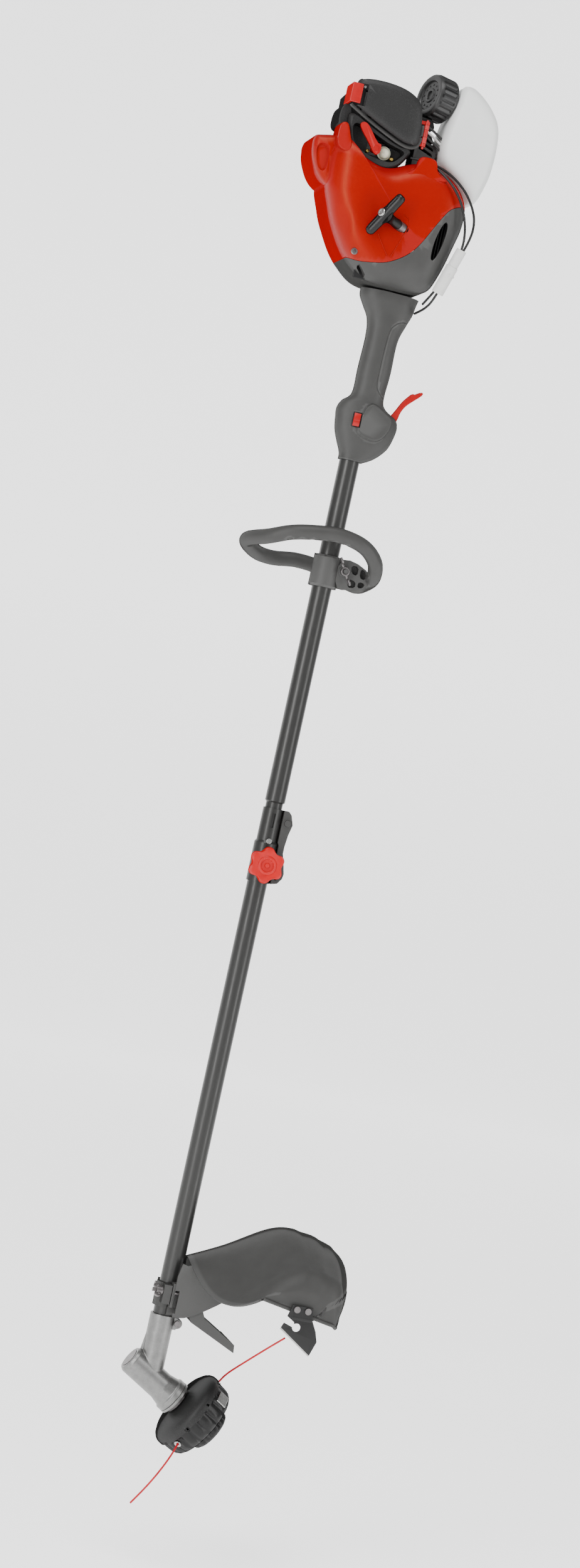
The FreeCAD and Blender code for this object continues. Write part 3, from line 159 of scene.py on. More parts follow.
KNOB = finish("orange_red", (0.42, 0.003, 0.004), 0.36, grain=0.03, wear=0.35, patch=9)
WHITE = finish("white_plastic", (0.58, 0.58, 0.565), 0.42, grain=0.03, mottle=0.04, patch=9, wear=0.1)
IVORY = finish("ivory_rubber", (0.62, 0.58, 0.44), 0.36, grain=0.02, patch=5, Subsurface_Weight=0.15)
FOAM = finish("filter_foam", (0.05, 0.05, 0.05), 0.95, grain=0.5, size=1.2, speck=0.4, patch=6)
ROPE = finish("starter_cord", (0.12, 0.12, 0.12), 0.8, grain=0.25, size=0.5, speck=0.5, patch=3)
LINE = finish("nylon_line", (0.42, 0.002, 0.010), 0.30, grain=0.01, mottle=0.15, patch=12)
SLOTS = {"steel": DARK_STEEL, "cast_aluminium": CAST, "black_plastic": BLACK, "black_rubber": RUBBER,
    "heat_steel": DARK_STEEL, "red_plastic": CONTROL_RED, "grey_plastic": GREY, "rope": ROPE,
    "dark_grey_plastic": GRAPHITE, "bright_steel": STEEL, "dark_tube": TUBE, "foam": FOAM,
    "white_plastic": WHITE, "ivory_rubber": IVORY, "orange_red_plastic": KNOB, "nylon_line": LINE,
    "translucent_plastic": TANK}


# ---------------------------------------------------------------- mesh helpers
def clean(mesh, flat=0.0):
    """Weld doubles, join flat neighbours below an angle in degrees, and face the normals out."""
    bm = bmesh.new()
    bm.from_mesh(mesh)
    bmesh.ops.remove_doubles(bm, verts=bm.verts, dist=2e-6)
    if flat:
        bmesh.ops.dissolve_limit(bm, angle_limit=math.radians(flat), verts=bm.verts, edges=bm.edges)
    bmesh.ops.recalc_face_normals(bm, faces=bm.faces)
    bm.to_mesh(mesh)
    bm.free()


def solid(name, verts, faces):
    """A mesh object from corners in millimetres."""
    mesh = bpy.data.meshes.new(name)
    mesh.from_pydata([tuple(c * MM for c in v) for v in verts], [], faces)
    clean(mesh)
    piece = bpy.data.objects.new(name, mesh)
    bpy.context.collection.objects.link(piece)
    return piece


def bake(piece):
    """Put the piece's modifiers into its mesh."""
    bpy.context.view_layer.update()
    graph = bpy.context.evaluated_depsgraph_get()
    mesh = bpy.data.meshes.new_from_object(piece.evaluated_get(graph))
    piece.modifiers.clear()
    piece.data = mesh
    return piece


def carve(piece, *tools, keep="DIFFERENCE"):
    """Cut the tools from the piece, or join or intersect them with it."""
    for tool in tools:
        change = piece.modifiers.new("carve", "BOOLEAN")
        change.operation = keep
        change.solver = "EXACT"
        change.object = tool
    bake(piece)
    for tool in tools:
        bpy.data.objects.remove(tool)
    return piece


def settle(piece, material, body, nodes=(), edge=0.0, segments=2, sharp=42.0):
    """Round the edges, shade the piece, and hang it on its body in place of its plain nodes."""
    if edge:
        bevel = piece.modifiers.new("edge", "BEVEL")
        bevel.width = edge * MM
        bevel.segments = segments
        bevel.limit_method = "ANGLE"
        bevel.angle_limit = math.radians(30)
        bevel.use_clamp_overlap = True
    bake(piece)
    for face in piece.data.polygons:
        face.use_smooth = True
    piece.data.set_sharp_from_angle(angle=math.radians(sharp))
    weighted = piece.modifiers.new("weighted", "WEIGHTED_NORMAL")
    weighted.keep_sharp = True
    bake(piece)
    piece.data.materials.clear()
    piece.data.materials.append(material)
    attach(piece, body)
    if nodes:
        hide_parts(*nodes)
    return piece


def copy_of(node, flat=0.5):
    """A new piece with a node's own shape."""
    mesh = frame["nodes"][node].data.copy()
    clean(mesh, flat)
    piece = bpy.data.objects.new(node + "_finished", mesh)
    bpy.context.collection.objects.link(piece)
    return piece


def body_of(node):
    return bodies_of(frame["nodes"][node])[0]


def refine(node, material, edge=0.5, segments=2):
    """A node's own shape with its edges rounded."""
    return settle(copy_of(node), material, body_of(node), [node], edge, segments)


def melt(node, material, voxel, passes, extra=()):
    """A node's own shape with cast or moulded fillets in its corners."""
    piece = copy_of(node, 0)
    for part in extra:
        carve(piece, part, keep="UNION")
    remesh = piece.modifiers.new("remesh", "REMESH")
    remesh.mode = "VOXEL"
    remesh.voxel_size = voxel * MM
    smooth = piece.modifiers.new("smooth", "SMOOTH")
    smooth.factor = 0.5
    smooth.iterations = passes
    return settle(piece, material, body_of(node), [node], sharp=80)


# ---------------------------------------------------------------- shape helpers
def rounded(line, rounds=2, closed=True):
    """A line with its corners cut off again and again."""
    for _ in range(rounds):
        ends = line[1:] + line[:1] if closed else line[1:]
        cut = []
        for a, b in zip(line, ends):
            cut += [tuple(0.75 * p + 0.25 * q for p, q in zip(a, b)),
                    tuple(0.25 * p + 0.75 * q for p, q in zip(a, b))]
        line = cut if closed else [line[0]] + cut + [line[-1]]
    return line


def even(line, count, closed=True):
    """The line again as evenly spaced points."""
    points = [Vector(p) for p in line]
    if closed:
        points.append(points[0])
    marks = [0.0]
    for a, b in zip(points, points[1:]):
        marks.append(marks[-1] + (b - a).length)
    result, i = [], 0
    for k in range(count):
        at = marks[-1] * k / (count if closed else count - 1)
        while i < len(points) - 2 and marks[i + 1] < at:
            i += 1
        span = marks[i + 1] - marks[i] or 1
        result.append(tuple(points[i].lerp(points[i + 1], min(1, (at - marks[i]) / span))))
    return result


def soft(line, count):
    """A closed line with soft corners, as evenly spaced points."""
    return even(rounded(line), count)


def smooth_line(line, steps=8, closed=False):
    """A curve through every point of the line."""
    n = len(line)
    pick = (lambda i: line[i % n]) if closed else (lambda i: line[min(max(i, 0), n - 1)])
    points = []
    for i in range(n if closed else n - 1):
        p0, p1, p2, p3 = (Vector(pick(i + k)) for k in (-1, 0, 1, 2))
        for s in range(steps):
            t = s / steps
            points.append(tuple(0.5 * (2 * p1 + (p2 - p0) * t + (2 * p0 - 5 * p1 + 4 * p2 - p3) * t * t
                                       + (3 * p1 - p0 - 3 * p2 + p3) * t ** 3)))
    return points if closed else points + [tuple(line[-1])]


def loft(name, rings, ring_closed=True, row_closed=False, caps=True):
    """A skin through rows of points."""
    n, rows = len(rings[0]), len(rings)
    faces = []
    for i in range(rows if row_closed else rows - 1):
        for j in range(n if ring_closed else n - 1):
            k, m = (i + 1) % rows, (j + 1) % n
            faces.append((i * n + j, i * n + m, k * n + m, k * n + j))
    if caps and not row_closed:
        faces += [tuple(range(n))[::-1], tuple(range((rows - 1) * n, rows * n))]
    return solid(name, [p for ring in rings for p in ring], faces)


def plate(name, line, y_low, y_high):
    """A flat piece from an (X, Z) outline."""
    return loft(name, [[(x, y, z) for x, z in line] for y in (y_low, y_high)])


def pillow(name, line, levels, centre):
    """A closed solid from an (X, Z) outline shrunk about its centre at each (Y, scale)."""
    cx, cz = centre
    return loft(name, [[(cx + (x - cx) * k, y, cz + (z - cz) * k) for x, z in line] for y, k in levels])


def inset(line, distance):
    """The outline moved inwards by a distance."""
    result, n = [], len(line)
    for i in range(n):
        (ax, az), (bx, bz) = line[i - 1], line[(i + 1) % n]
        dx, dz = bx - ax, bz - az
        reach = math.hypot(dx, dz) or 1
        result.append((line[i][0] - dz / reach * distance, line[i][1] + dx / reach * distance))
    return result


def tube_way(low, high, radius):
    """The room that the boom tube takes up."""
    return rod("tube_way", (0, 0, low), (0, 0, high), radius, 64)


def axes(along):
    """Two directions square to the given one, and that one."""
    w = Vector(along).normalized()
    u = w.cross((0, 1, 0) if abs(w.y) < 0.9 else (1, 0, 0)).normalized()
    return u, w.cross(u), w


def lathe(name, profile, at, along, steps=72, wave=None):
    """A turned solid from (radius, height) corners; wave(angle, radius, height) may change the radius."""
    u, v, w = axes(along)
    at = Vector(at)
    sections = []
    for k in range(steps):
        a = math.tau * k / steps
        radial = u * math.cos(a) + v * math.sin(a)
        sections.append([tuple(at + w * h + radial * (wave(a, r, h) if wave else r)) for r, h in profile])
    return loft(name, sections, row_closed=True)


def rod(name, a, b, radius, steps=32):
    """A round bar between two points, with softened ends."""
    length = (Vector(b) - Vector(a)).length
    end = min(radius, length) * 0.15
    profile = [(0, 0), (radius - end, 0), (radius, end), (radius, length - end), (radius - end, length),
        (0, length)]
    return lathe(name, profile, a, Vector(b) - Vector(a), steps)


def box(name, low, high, turn=None, about=None):
    """A box between two corners, turned about a point."""
    (x0, y0, z0), (x1, y1, z1) = low, high
    piece = loft(name, [[(x0, y, z0), (x1, y, z0), (x1, y, z1), (x0, y, z1)] for y in (y0, y1)])
    if turn:
        angle, axis = turn
        centre = Vector(about) * MM
        piece.data.transform(Matrix.Translation(centre) @ Matrix.Rotation(math.radians(angle), 4,
            axis) @ Matrix.Translation(-centre))
    return piece


def bar_along(name, line, radii, sides=24, closed=False, up=(0, 0, 1)):
    """A bar with an oval section (across, up) along a line of points."""
    points = [Vector(p) for p in line]
    n, rings = len(points), []
    for i, point in enumerate(points):
        ahead = points[(i + 1) % n] if closed or i < n - 1 else point
        behind = points[i - 1] if closed or i > 0 else point
        along = (ahead - behind).normalized()
        across = along.cross(up).normalized()
        lift = across.cross(along)
        wide, high = radii(i / n) if callable(radii) else radii
        rings.append([tuple(point + across * wide * math.cos(math.tau * k / sides)
                            + lift * high * math.sin(math.tau * k / sides)) for k in range(sides)])
    return loft(name, rings, row_closed=closed)


def cord(name, points, radius, material, body, node, length, **facts):
    """A free cord along a smooth line with the route's points as its control points."""
    curve = bpy.data.curves.new(name, "CURVE")
    curve.dimensions = "3D"
    curve.bevel_depth = radius * MM
    curve.bevel_resolution = 5
    curve.use_fill_caps = True
    spline = curve.splines.new("NURBS")
    spline.points.add(len(points) - 1)
    for point, place in zip(spline.points, points):
        point.co = (*[c * MM for c in place], 1)
    spline.order_u = 3
    spline.use_endpoint_u = True
    spline.resolution_u = 10
    piece = bpy.data.objects.new(name, curve)
    bpy.context.collection.objects.link(piece)
    curve.materials.append(material)
    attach(piece, body)
    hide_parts(node)
    return piece


# ---------------------------------------------------------------- engine covers
COVER = soft([
    (-112, 424), (-114, 400), (-112, 365), (-105, 348), (-98, 330), (-90, 316), (-80, 299), (-70, 286),
    (-58, 275), (-45, 265), (-30, 260), (0, 259), (30, 260), (44, 266), (52, 286), (58, 306), (63, 328),
    (68.5, 350), (68.5, 376), (61, 391), (51, 402), (40, 410), (25, 415.5), (5, 418), (-9, 416),
    (-22, 410), (-35, 404), (-48, 402), (-62, 405), (-80, 412), (-92, 421), (-99, 430)], 150)
COVER_CENTRE = (-15, 340)
SEAM = [(-150, 330), (-104, 321), (-97, 312), (-90, 301), (-81, 292), (-71, 285), (-57, 280.5),
    (-43, 280.5), (-23, 284.5), (-7, 293), (6, 304), (16, 318), (25.5, 336), (35, 354), (44, 367),
    (56, 374), (100, 374)]
CROWN = [(0.02, 66.0), (0.25, 66.0), (0.42, 65.9), (0.55, 65.6), (0.64, 65.0), (0.71, 63.9), (0.77, 62.3),
    (0.83, 59.6), (0.885, 55.8), (0.93, 51.4), (0.965, 46.2), (0.985, 41.0), (1.0, 34.0), (1.0, 16.0)]


def crowned(name, line, centre, profile, thin=0.0):
    """A closed body with the same crown on both sides of Y, shrunk by a wall."""
    near = [(-(y - thin), k) for k, y in profile]
    rows = near + [(-y, k) for y, k in near[::-1]]
    return pillow(name, inset(line, thin) if thin else line, rows, centre)


def dent(piece, centre, reach, depth, lean=0.0):
    """Press a soft oval hollow into the near face."""
    cx, cz = centre
    c, s = math.cos(lean), math.sin(lean)
    for vertex in piece.data.vertices:
        x, z = vertex.co.x / MM - cx, vertex.co.z / MM - cz
        r = math.hypot((x * c + z * s) / reach[0], (z * c - x * s) / reach[1])
        if vertex.co.y < 0 and r < 1:
            vertex.co.y += depth * MM * (1 - r * r) ** 1.5


def seam_block(name, shift):
    """Everything below the seam between the cowl and the fan housing."""
    line = smooth_line(SEAM[1:-1], 6)
    line = [(x - shift / 2, z + shift) for x, z in [SEAM[0]] + line + [SEAM[-1], (100, 230), (-150, 230)]]
    return plate(name, line, -95, 95)


def cover_shell(name):
    """The hollow body that the cowl and the fan housing are cut from."""
    shell = crowned(name, COVER, COVER_CENTRE, CROWN)
    dent(shell, (-84, 322), (10, 24), 3.0, lean=0.25)
    return carve(shell, crowned("room", COVER, COVER_CENTRE, CROWN, 2.6))


shroud = cover_shell("engine_cowl")
fan = cover_shell("fan_cowl")
PULL = Vector((-0.80, -0.56, 0.20)).normalized()
BAR = Vector((0.496, -0.4, 0.868)).normalized()
GRIP_AT = Vector((-40, -84, 338))
GUIDE_AT = GRIP_AT - PULL * 32
wing = crowned("cowl_wing", soft([
    (-138.5, 421), (-137, 400), (-132, 388), (-124, 374), (-112, 364), (-100, 362), (-96, 400), (-98, 426),
    (-112, 427), (-125, 424)], 70), (-116, 398),
    [(0.05, 44), (0.5, 43.6), (0.75, 42.3), (0.9, 39.5), (0.97, 36), (1.0, 31), (1.0, 15)])
corner_tab = pillow("corner_tab", soft([(-113, 410), (-113, 437), (-109, 441), (-103, 441), (-99, 430),
    (-93, 415), (-95, 405)], 50), [(-59, 0.9), (-58, 0.97), (-56, 1.0), (-24, 1.0), (-22, 0.97)], (-104, 420))
top_tab = pillow("top_tab", soft([(-24, 396), (-12, 404), (-9.5, 408), (-8, 419), (-4, 423.5),
    (12, 423.5), (16, 419), (18, 409), (24, 404), (38, 398)], 60), [(-61.5, 0.92), (-60.5, 0.97),
    (-59, 1.0), (-54, 1.0), (-53, 0.97)], (5, 408))
wing_room = pillow("wing_room", soft([(-134, 411), (-117, 412), (-115.5, 386), (-118, 378), (-124, 378),
    (-130, 388)], 40), [(-60, 1.1), (-42.5, 1.0), (-39.5, 0.88)], (-124, 396))
carve(shroud, wing, corner_tab, top_tab, keep="UNION")
intake_hole = rod("intake_hole", (-57, 0, 385), (-57, 0, 420), 12)
guide_hole = rod("guide_hole", GUIDE_AT - PULL * 12, GUIDE_AT + PULL * 10, 6.3)
BOOT_WAY = Vector((-0.62, 0, 0.785)).normalized()
BOOT_AT = Vector((-80, 0, 370))
boot_hole = rod("boot_hole", BOOT_AT + BOOT_WAY * 18, BOOT_AT + BOOT_WAY * 98, 10.2)
far_slots = [box("slot", (-74, 45, 342 + 8 * i), (-44, 90, 346 + 8 * i)) for i in range(4)]
carve(shroud, seam_block("seam", 0.5), wing_room, intake_hole, guide_hole, boot_hole, *far_slots)
settle(shroud, RED, "powerhead", ["engine_shroud"], 0.5, sharp=48)

for name, line in (("cowl_flash_right", [(-13, 347), (-7, 344), (-4.8, 339), (-5.5, 330), (-12, 311),
        (-18.5, 293)]), ("cowl_flash_left", [(-40, 317), (-31, 304), (-23, 293)])):
    path = []
    for x, z in smooth_line(line, 8):
        path.append((x, -66.0 + 0.0016 * ((x + 15) ** 2 + 1.1 * (z - 340) ** 2) ** 0.5, z))
    settle(bar_along(name, path, (0.55, 0.55), 10, up=(0, 1, 0)), RED, "powerhead")

oval = even([(38 + 5.0 * math.cos(a) + 3.5 * math.sin(a), 326 + 22 * math.sin(a))
    for a in [math.tau * k / 40 for k in range(40)]], 40)
vent = pillow("vent", oval, [(-90, 1.25), (-58, 1.12), (-50, 1.0), (-38, 0.9)], (38, 326))
slot = plate("slot", [(-53, 275), (-51, 276.5), (-41, 267), (-40, 264), (-43, 264.5), (-52, 272.5)], -70, -30)
fins = [box("slot", (-40 + 12 * i, 40, 268), (-34 + 12 * i, 80, 284)) for i in range(7)]
carve(fan, seam_block("seam", 0.0), keep="INTERSECT")
baffle = plate("fan_baffle", [(-53, 262), (-38, 262), (-38, 280), (-53, 280)], -36, -33)
settle(baffle, BLACK, "powerhead", edge=0.5)
carve(fan, vent, slot, tube_way(240, 300, TUBE_R), *fins)
settle(fan, GREY, "powerhead", ["fan_housing"], 0.5, sharp=48)
vent_mesh = [box("vent_bar", (30 + 3.6 * i, -52, 300), (31.2 + 3.6 * i, -46, 352)) for i in range(6)]
grille = carve(vent_mesh[0], *vent_mesh[1:], keep="UNION")
settle(grille, BLACK, "powerhead", edge=0.2).name = "vent_grille"
for name, x, z in (("cowl_screw_low", -62, 290), ("cowl_screw_high", 41, 384)):
    head = lathe(name, [(0, 0), (4.2, 0), (4.2, 1.6), (3.4, 2.6), (0, 2.6)],
        (x, -56 if x < 0 else -55, z), (0, -1, 0), 40)
    carve(head, *[box("star", (x - 2.2, -62, z - 0.6), (x + 2.2, -56.8, z + 0.6), (60 * k, "Y"),
        (x, -58, z)) for k in range(3)])
    settle(head, DARK_STEEL, "powerhead", edge=0.2)


def handle_radii(t):
    """The starter handle's radii along its bar, closing at both ends."""
    edge = abs(2 * t - 1)
    swell = 1.0 if edge < 0.82 else max(0.12, math.sqrt(max(0, 1 - ((edge - 0.82) / 0.185) ** 2)))
    arch = math.cos(math.pi * edge / 2)
    return (6.4 + 0.9 * arch) * swell, (5.8 + 0.6 * arch) * swell


def groove_radii(t):
    """A finger groove's radii along its line, closing at both ends."""
    swell = math.sqrt(max(0.02, 1 - (2 * t - 1) ** 6))
    return 2.5 * swell, 2.0 * swell


bar_line = [tuple(GRIP_AT + BAR * (-31 + 62 * k / 40)) for k in range(41)]
handle = bar_along("pull_handle", bar_line, handle_radii, 28, up=tuple(PULL))
stem = lathe("stem", [(0, 0), (6.0, 0), (6.4, 2), (5.6, 9), (5.8, 15), (7.2, 20), (9.8, 24), (12.0, 27.5),
    (0, 27.5)], GRIP_AT - PULL * 27.7, PULL, 48)
carve(handle, stem, keep="UNION")
for side in (-1, 1):
    middle = GRIP_AT + BAR * side * 17 + PULL * 5.6
    groove_line = [tuple(middle + BAR * (9.5 * k / 10)) for k in range(-10, 11)]
    groove = bar_along("groove", groove_line, groove_radii, 16, up=tuple(PULL))
    carve(handle, groove)
settle(handle, BLACK, "starter", ["starter_handle"], 0.3)
ferrule = lathe("pull_ferrule", [(2.0, 0), (5.4, 0), (5.4, 1.4), (4.4, 2.4), (2.6, 2.4), (2.0, 1.6)],
    GRIP_AT + PULL * 6.0, PULL, 48)
settle(ferrule, STEEL, "starter", edge=0.2)
knot = lathe("rope_knot", [(0, 0), (2.2, 0), (2.4, 1.2), (1.6, 2.2), (0, 2.5)], GRIP_AT + PULL * 6.0,
    PULL, 32)
settle(knot, ROPE, "starter")

# ---------------------------------------------------------------- intake
LID = soft([(-105, 466), (-104.5, 484), (-103.5, 500), (-80, 504.3), (-50, 503.5), (-28, 497.5),
    (-15, 486.5), (-10.5, 470), (-9, 452), (-9.5, 437), (-18, 431), (-32, 432.5), (-60, 444), (-80, 453),
    (-98, 462.5)], 120)
lid = pillow("filter_lid", LID, [(-60, 0.03), (-60, 0.4), (-59.8, 0.6), (-59.2, 0.74), (-58.0, 0.84),
    (-56, 0.91), (-53, 0.96), (-49.5, 0.99), (-46, 1.0), (-35, 1.0), (-34.5, 0.985), (-33, 0.985),
    (-32, 0.97)], (-57, 468))
lid_room = pillow("lid_room", inset(LID, 2.6), [(-57.2, 0.7), (-55, 0.88), (-50, 0.96), (-45, 1.0),
    (-30, 1.0)], (-57, 468))
latch_room = box("latch_room", (-112, -66, 464.5), (-88.5, -45, 491.5))
lip = bar_along("lid_lip", [(x, -47.5, z) for x, z in even([p for p in LID
    if p[1] < 470 and p[0] > -104 and p[0] + 3.2 * p[1] < 1470], 60, False)], (1.4, 2.2), 12)
carve(lid, lid_room, latch_room)
KNUCKLES = ((437, 4), (449, 9), (464, 4))
lid_hinges = [lathe("lid_knuckle", [(1.6, 0), (3.2, 0), (3.2, h), (1.6, h)], (-4.5, -46, z), (0, 0, 1),
    40) for z, h in KNUCKLES]
for knuckle, (z, h) in zip(lid_hinges, KNUCKLES):
    carve(knuckle, box("arm", (-12, -47.6, z), (-5.6, -44.4, z + h)), keep="UNION")
    settle(knuckle, CONTROL_RED, "filter_door", edge=0.35)
settle(lid, GRAPHITE, "filter_door", ["filter_cover"], 0.6)
settle(lip, GREY, "filter_door")
well = box("latch_well", (-96.5, -50.5, 464.8), (-88.8, -47.5, 491.2))
settle(well, BLACK, "filter_door", edge=0.4)
latch = copy_of("cover_latch")
settle(latch, CONTROL_RED, "door_latch", ["cover_latch"], 0.8, 3)
stud = rod("latch_stud", (-92.5, -58.5, 488), (-92.5, -50, 488), 1.6)
settle(stud, STEEL, "filter_door")
refine("air_box", GRAPHITE, 0.8)
refine("air_filter", FOAM, 1.0)
BOWL = soft([(-103, 460), (-80, 450), (-60, 441), (-30, 429), (-14, 430), (-22, 414), (-30, 404),
    (-45, 397.5), (-60, 400), (-80, 407), (-92, 413), (-98.5, 425), (-102.5, 442)], 110)
bowl = pillow("intake_bowl", BOWL, [(-48, 0.87), (-47.6, 0.91), (-46, 0.96), (-43.5, 0.99), (-41, 1.0),
    (-31.5, 1.0)], (-57, 425))
opening = soft([(-95, 447), (-94, 430), (-86, 417), (-70, 410.5), (-50, 407.5), (-37, 408.5), (-30, 416),
    (-23, 425), (-45, 429), (-75, 441)], 70)
carve(bowl, pillow("opening", opening, [(-60, 1.08), (-46, 1.0), (-20, 0.94)], (-57, 425)))
settle(bowl, GRAPHITE, "powerhead", ["carburettor_cover"], 0.9, 3)
side_box = pillow("side_box", soft([(-113, 438), (-113, 460), (-108, 468), (-100, 470), (-97, 438)], 40),
    [(-40, 0.9), (-38, 1.0), (10, 1.0), (14, 0.9)], (-105, 452))
settle(side_box, GRAPHITE, "powerhead", edge=0.5)
mount_pad = pillow("mount_pad", soft([(-12, 461), (-12, 475), (-9, 478), (5, 478), (9, 474), (12, 463)],
    40), [(-22, 0.9), (-20, 1.0), (18, 1.0), (20, 0.9)], (-1, 469))
settle(mount_pad, BLACK, "powerhead", edge=0.5)
choke = plate("choke_blade_finished", soft([(-63, 411), (-56, 414), (-56.5, 427), (-61, 425), (-75, 443),
    (-81, 448), (-88, 446), (-86, 439), (-72, 424)], 50), -53.2, -49.3)
carve(choke, rod("choke_pivot", (-62, -32, 420), (-62, -53.8, 420), 3.6), keep="UNION")
settle(choke, CONTROL_RED, "choke", ["choke_lever"], 0.7, 3)
bulb = lathe("primer_dome", [(0, 0), (8.5, 0), (8.5, 1.6), (7.2, 2.2), (6.9, 4.0), (6.2, 6.0), (4.9, 7.7),
    (2.8, 8.7), (0, 9.0)], (-48, -34.3, 419), (0, -1, 0), 48)
settle(bulb, IVORY, "primer", ["primer_bulb"])
for k, (x, z) in enumerate(((-70, 416), (-38, 413))):
    jet = lathe("carburettor_screw_%d" % k, [(0, 0), (2.4, 0), (2.4, 5), (1.6, 6), (0, 6)], (x, -37, z),
        (0, -1, 0), 24)
    settle(jet, BRASS, "powerhead", edge=0.2)

# ---------------------------------------------------------------- fuel tank and cap
TANK_LINE = soft([(34, 526), (45, 529.5), (60, 521.5), (76, 508), (89, 490), (93.2, 465), (92.2, 430),
    (88, 410), (81, 388), (73, 385), (66, 392), (54, 404), (40, 416), (27, 423), (22.5, 440), (22.5, 456),
    (25, 474), (30, 500)], 140)
tank = pillow("milky_fuel_tank", TANK_LINE, [(-40, 0.03), (-40, 0.5), (-39.6, 0.68), (-38.6, 0.79),
    (-36.5, 0.88), (-33, 0.95), (-28, 0.985), (-22, 1.0), (-1.2, 1.0), (-0.8, 1.006), (0.8, 1.006),
    (1.2, 1.0), (22, 1.0), (28, 0.985), (33, 0.95), (36.5, 0.88), (38.6, 0.79), (39.6, 0.68), (40, 0.5),
    (40, 0.03)], (58, 460))
CAP = Vector((-0.93, -0.34, 0.10)).normalized()
CAP_BASE = Vector((20, -6, 505))
neck = lathe("neck", [(0, 0), (21, 0), (18.5, 9), (17, 12), (17, 15), (0, 15)], CAP_BASE - CAP * 17, CAP, 64)
carve(tank, neck, keep="UNION")
settle(tank, TANK, "powerhead", ["fuel_tank"], 0.8, 3, sharp=60)


def ribs(count, depth, low, high, rim):
    """A wave of grooves between two heights outside a radius."""
    def wave(angle, radius, height):
        if radius > rim and low < height < high:
            return radius - depth * (0.5 + 0.5 * math.cos(count * angle)) ** 3
        return radius
    return wave


cap = lathe("fuel_cap_body", [(24.0, 0), (28.3, 0), (28.5, 0.8), (28.5, 2.5), (28.5, 3.0), (28.5, 20),
    (28.0, 21.5), (27.0, 24.5), (25.6, 25.8), (24.2, 26), (20.5, 26), (19.2, 25.4), (18.6, 24.0),
    (18.0, 23.4), (9.5, 23.4), (9.0, 24.2), (8.2, 24.6), (5.8, 24.6), (5.2, 24.0), (5.0, 22.6), (0, 22.6),
    (0, 20), (24.0, 20)], CAP_BASE, CAP, 192, ribs(18, 1.5, 2.8, 21.0, 28.2))
cap_u, cap_v, _ = axes(CAP)
studs = []
for k in range(12):
    a = math.tau * k / 12
    at = CAP_BASE + CAP * 22.6 + (cap_u * math.cos(a) + cap_v * math.sin(a)) * 14
    studs.append(rod("stud", at, at + CAP * 1.6, 1.1, 16))
carve(cap, *studs, keep="UNION")
settle(cap, BLACK, "cap", ["fuel_cap"], 0.25, sharp=50)

# tank bracket: a plate with bars that carry the tank off the cowl
bracket = copy_of("tank_bracket")
carve(bracket, *[plate("gap", [(-3, 457 - 7 * i), (15, 450 - 7 * i), (16, 446.5 - 7 * i),
    (-3, 453 - 7 * i)], -30, 30) for i in range(3)])
settle(bracket, GREY, "powerhead", ["tank_bracket"], 0.8, 3)
BARS = [((-2, 470), (24, 456)), ((-2, 464), (24, 449)), ((-1, 457), (24, 442))]
for k, ((x0, z0), (x1, z1)) in enumerate(BARS):
    for y in (-21, 19):
        bar = bar_along("bracket_bar_%d_%d" % (k, y > 0), [(x0, y, z0), ((x0 + x1) / 2, y,
            (z0 + z1) / 2 + 0.6), (x1, y, z1)], (1.6, 1.6), 12, up=(0, 1, 0))
        settle(bar, WHITE if k == 1 else GREY, "powerhead", edge=0.3)

# ---------------------------------------------------------------- cable, wires and connector
THROTTLE = [(-15, -41, 421), (2, -46, 421), (20, -48, 418), (36, -49, 412.5), (50, -49.5, 404),
    (62, -50, 393.5), (72, -50, 380), (78.5, -50, 366), (80, -50, 351), (77.5, -49, 336), (73, -47, 321),
    (67.5, -44, 306), (61, -38, 291), (56, -31, 277), (51, -23, 265), (45, -14, 253)]
STOP_UPPER = [(10, -50, 419), (28, -60.5, 407), (43, -65.5, 393), (55, -68, 376), (63, -69, 357),
    (67, -68.5, 339), (67.5, -66.5, 324), (66.3, -65.1, 317)]
STOP_LOWER = [(51.5, -53.5, 265), (49, -45, 254), (45.5, -34, 247), (41.5, -22, 242.5), (38.5, -11, 240)]
cord("throttle_cable_sheath", THROTTLE, 1.5, SHEATH, "powerhead", "throttle_cable", 244.6,
     far_end="object", stiffness="stiff", lay="loose")
joint = copy_of("wire_connector")
settle(joint, WHITE, "powerhead", ["wire_connector"], 0.9, 3)
cord("stop_wire_upper", STOP_UPPER, 1.5, SHEATH, "powerhead", "stop_wires", 127.0,
     far_end="connector", stiffness="medium", lay="loose", with_pieces=[joint])
cord("stop_wire_lower", STOP_LOWER, 1.5, SHEATH, "powerhead", "stop_wires", 52.5,
     far_end="object", stiffness="medium", lay="loose")
seat = Vector((51.5, -53.5, 265))
top = Vector((67.5, -66, 322))
run = (top - seat).normalized()
band = lathe("connector_collar", [(5.0, 0), (8.9, 0), (8.9, 3.0), (5.0, 3.0)], seat + run * 25, run, 4)
settle(band, WHITE, "powerhead", edge=0.6)

# ---------------------------------------------------------------- rear grip
GRIP = [(44, -15, 15.5, 15), (52, -15.5, 29, 16), (66, -22, 42, 18), (80, -27.5, 47.5, 19),
    (96, -30, 50, 19), (106, -30.5, 46, 19), (116, -26, 30, 18), (128, -15.5, 25.5, 17),
    (160, -15, 27, 17.5), (200, -14, 27, 17.5), (222, -17, 33, 18.5), (236, -25, 38, 20),
    (248, -32, 40, 22), (257, -33, 42, 23)]
GRIP_ROWS = smooth_line(GRIP, 6)


def grip_row(height):
    """The grip's (height, low X, high X, half depth) at a height."""
    for a, b in zip(GRIP_ROWS, GRIP_ROWS[1:]):
        if a[0] <= height <= b[0]:
            t = (height - a[0]) / (b[0] - a[0])
            return [p + (q - p) * t for p, q in zip(a, b)]
    return GRIP_ROWS[-1]


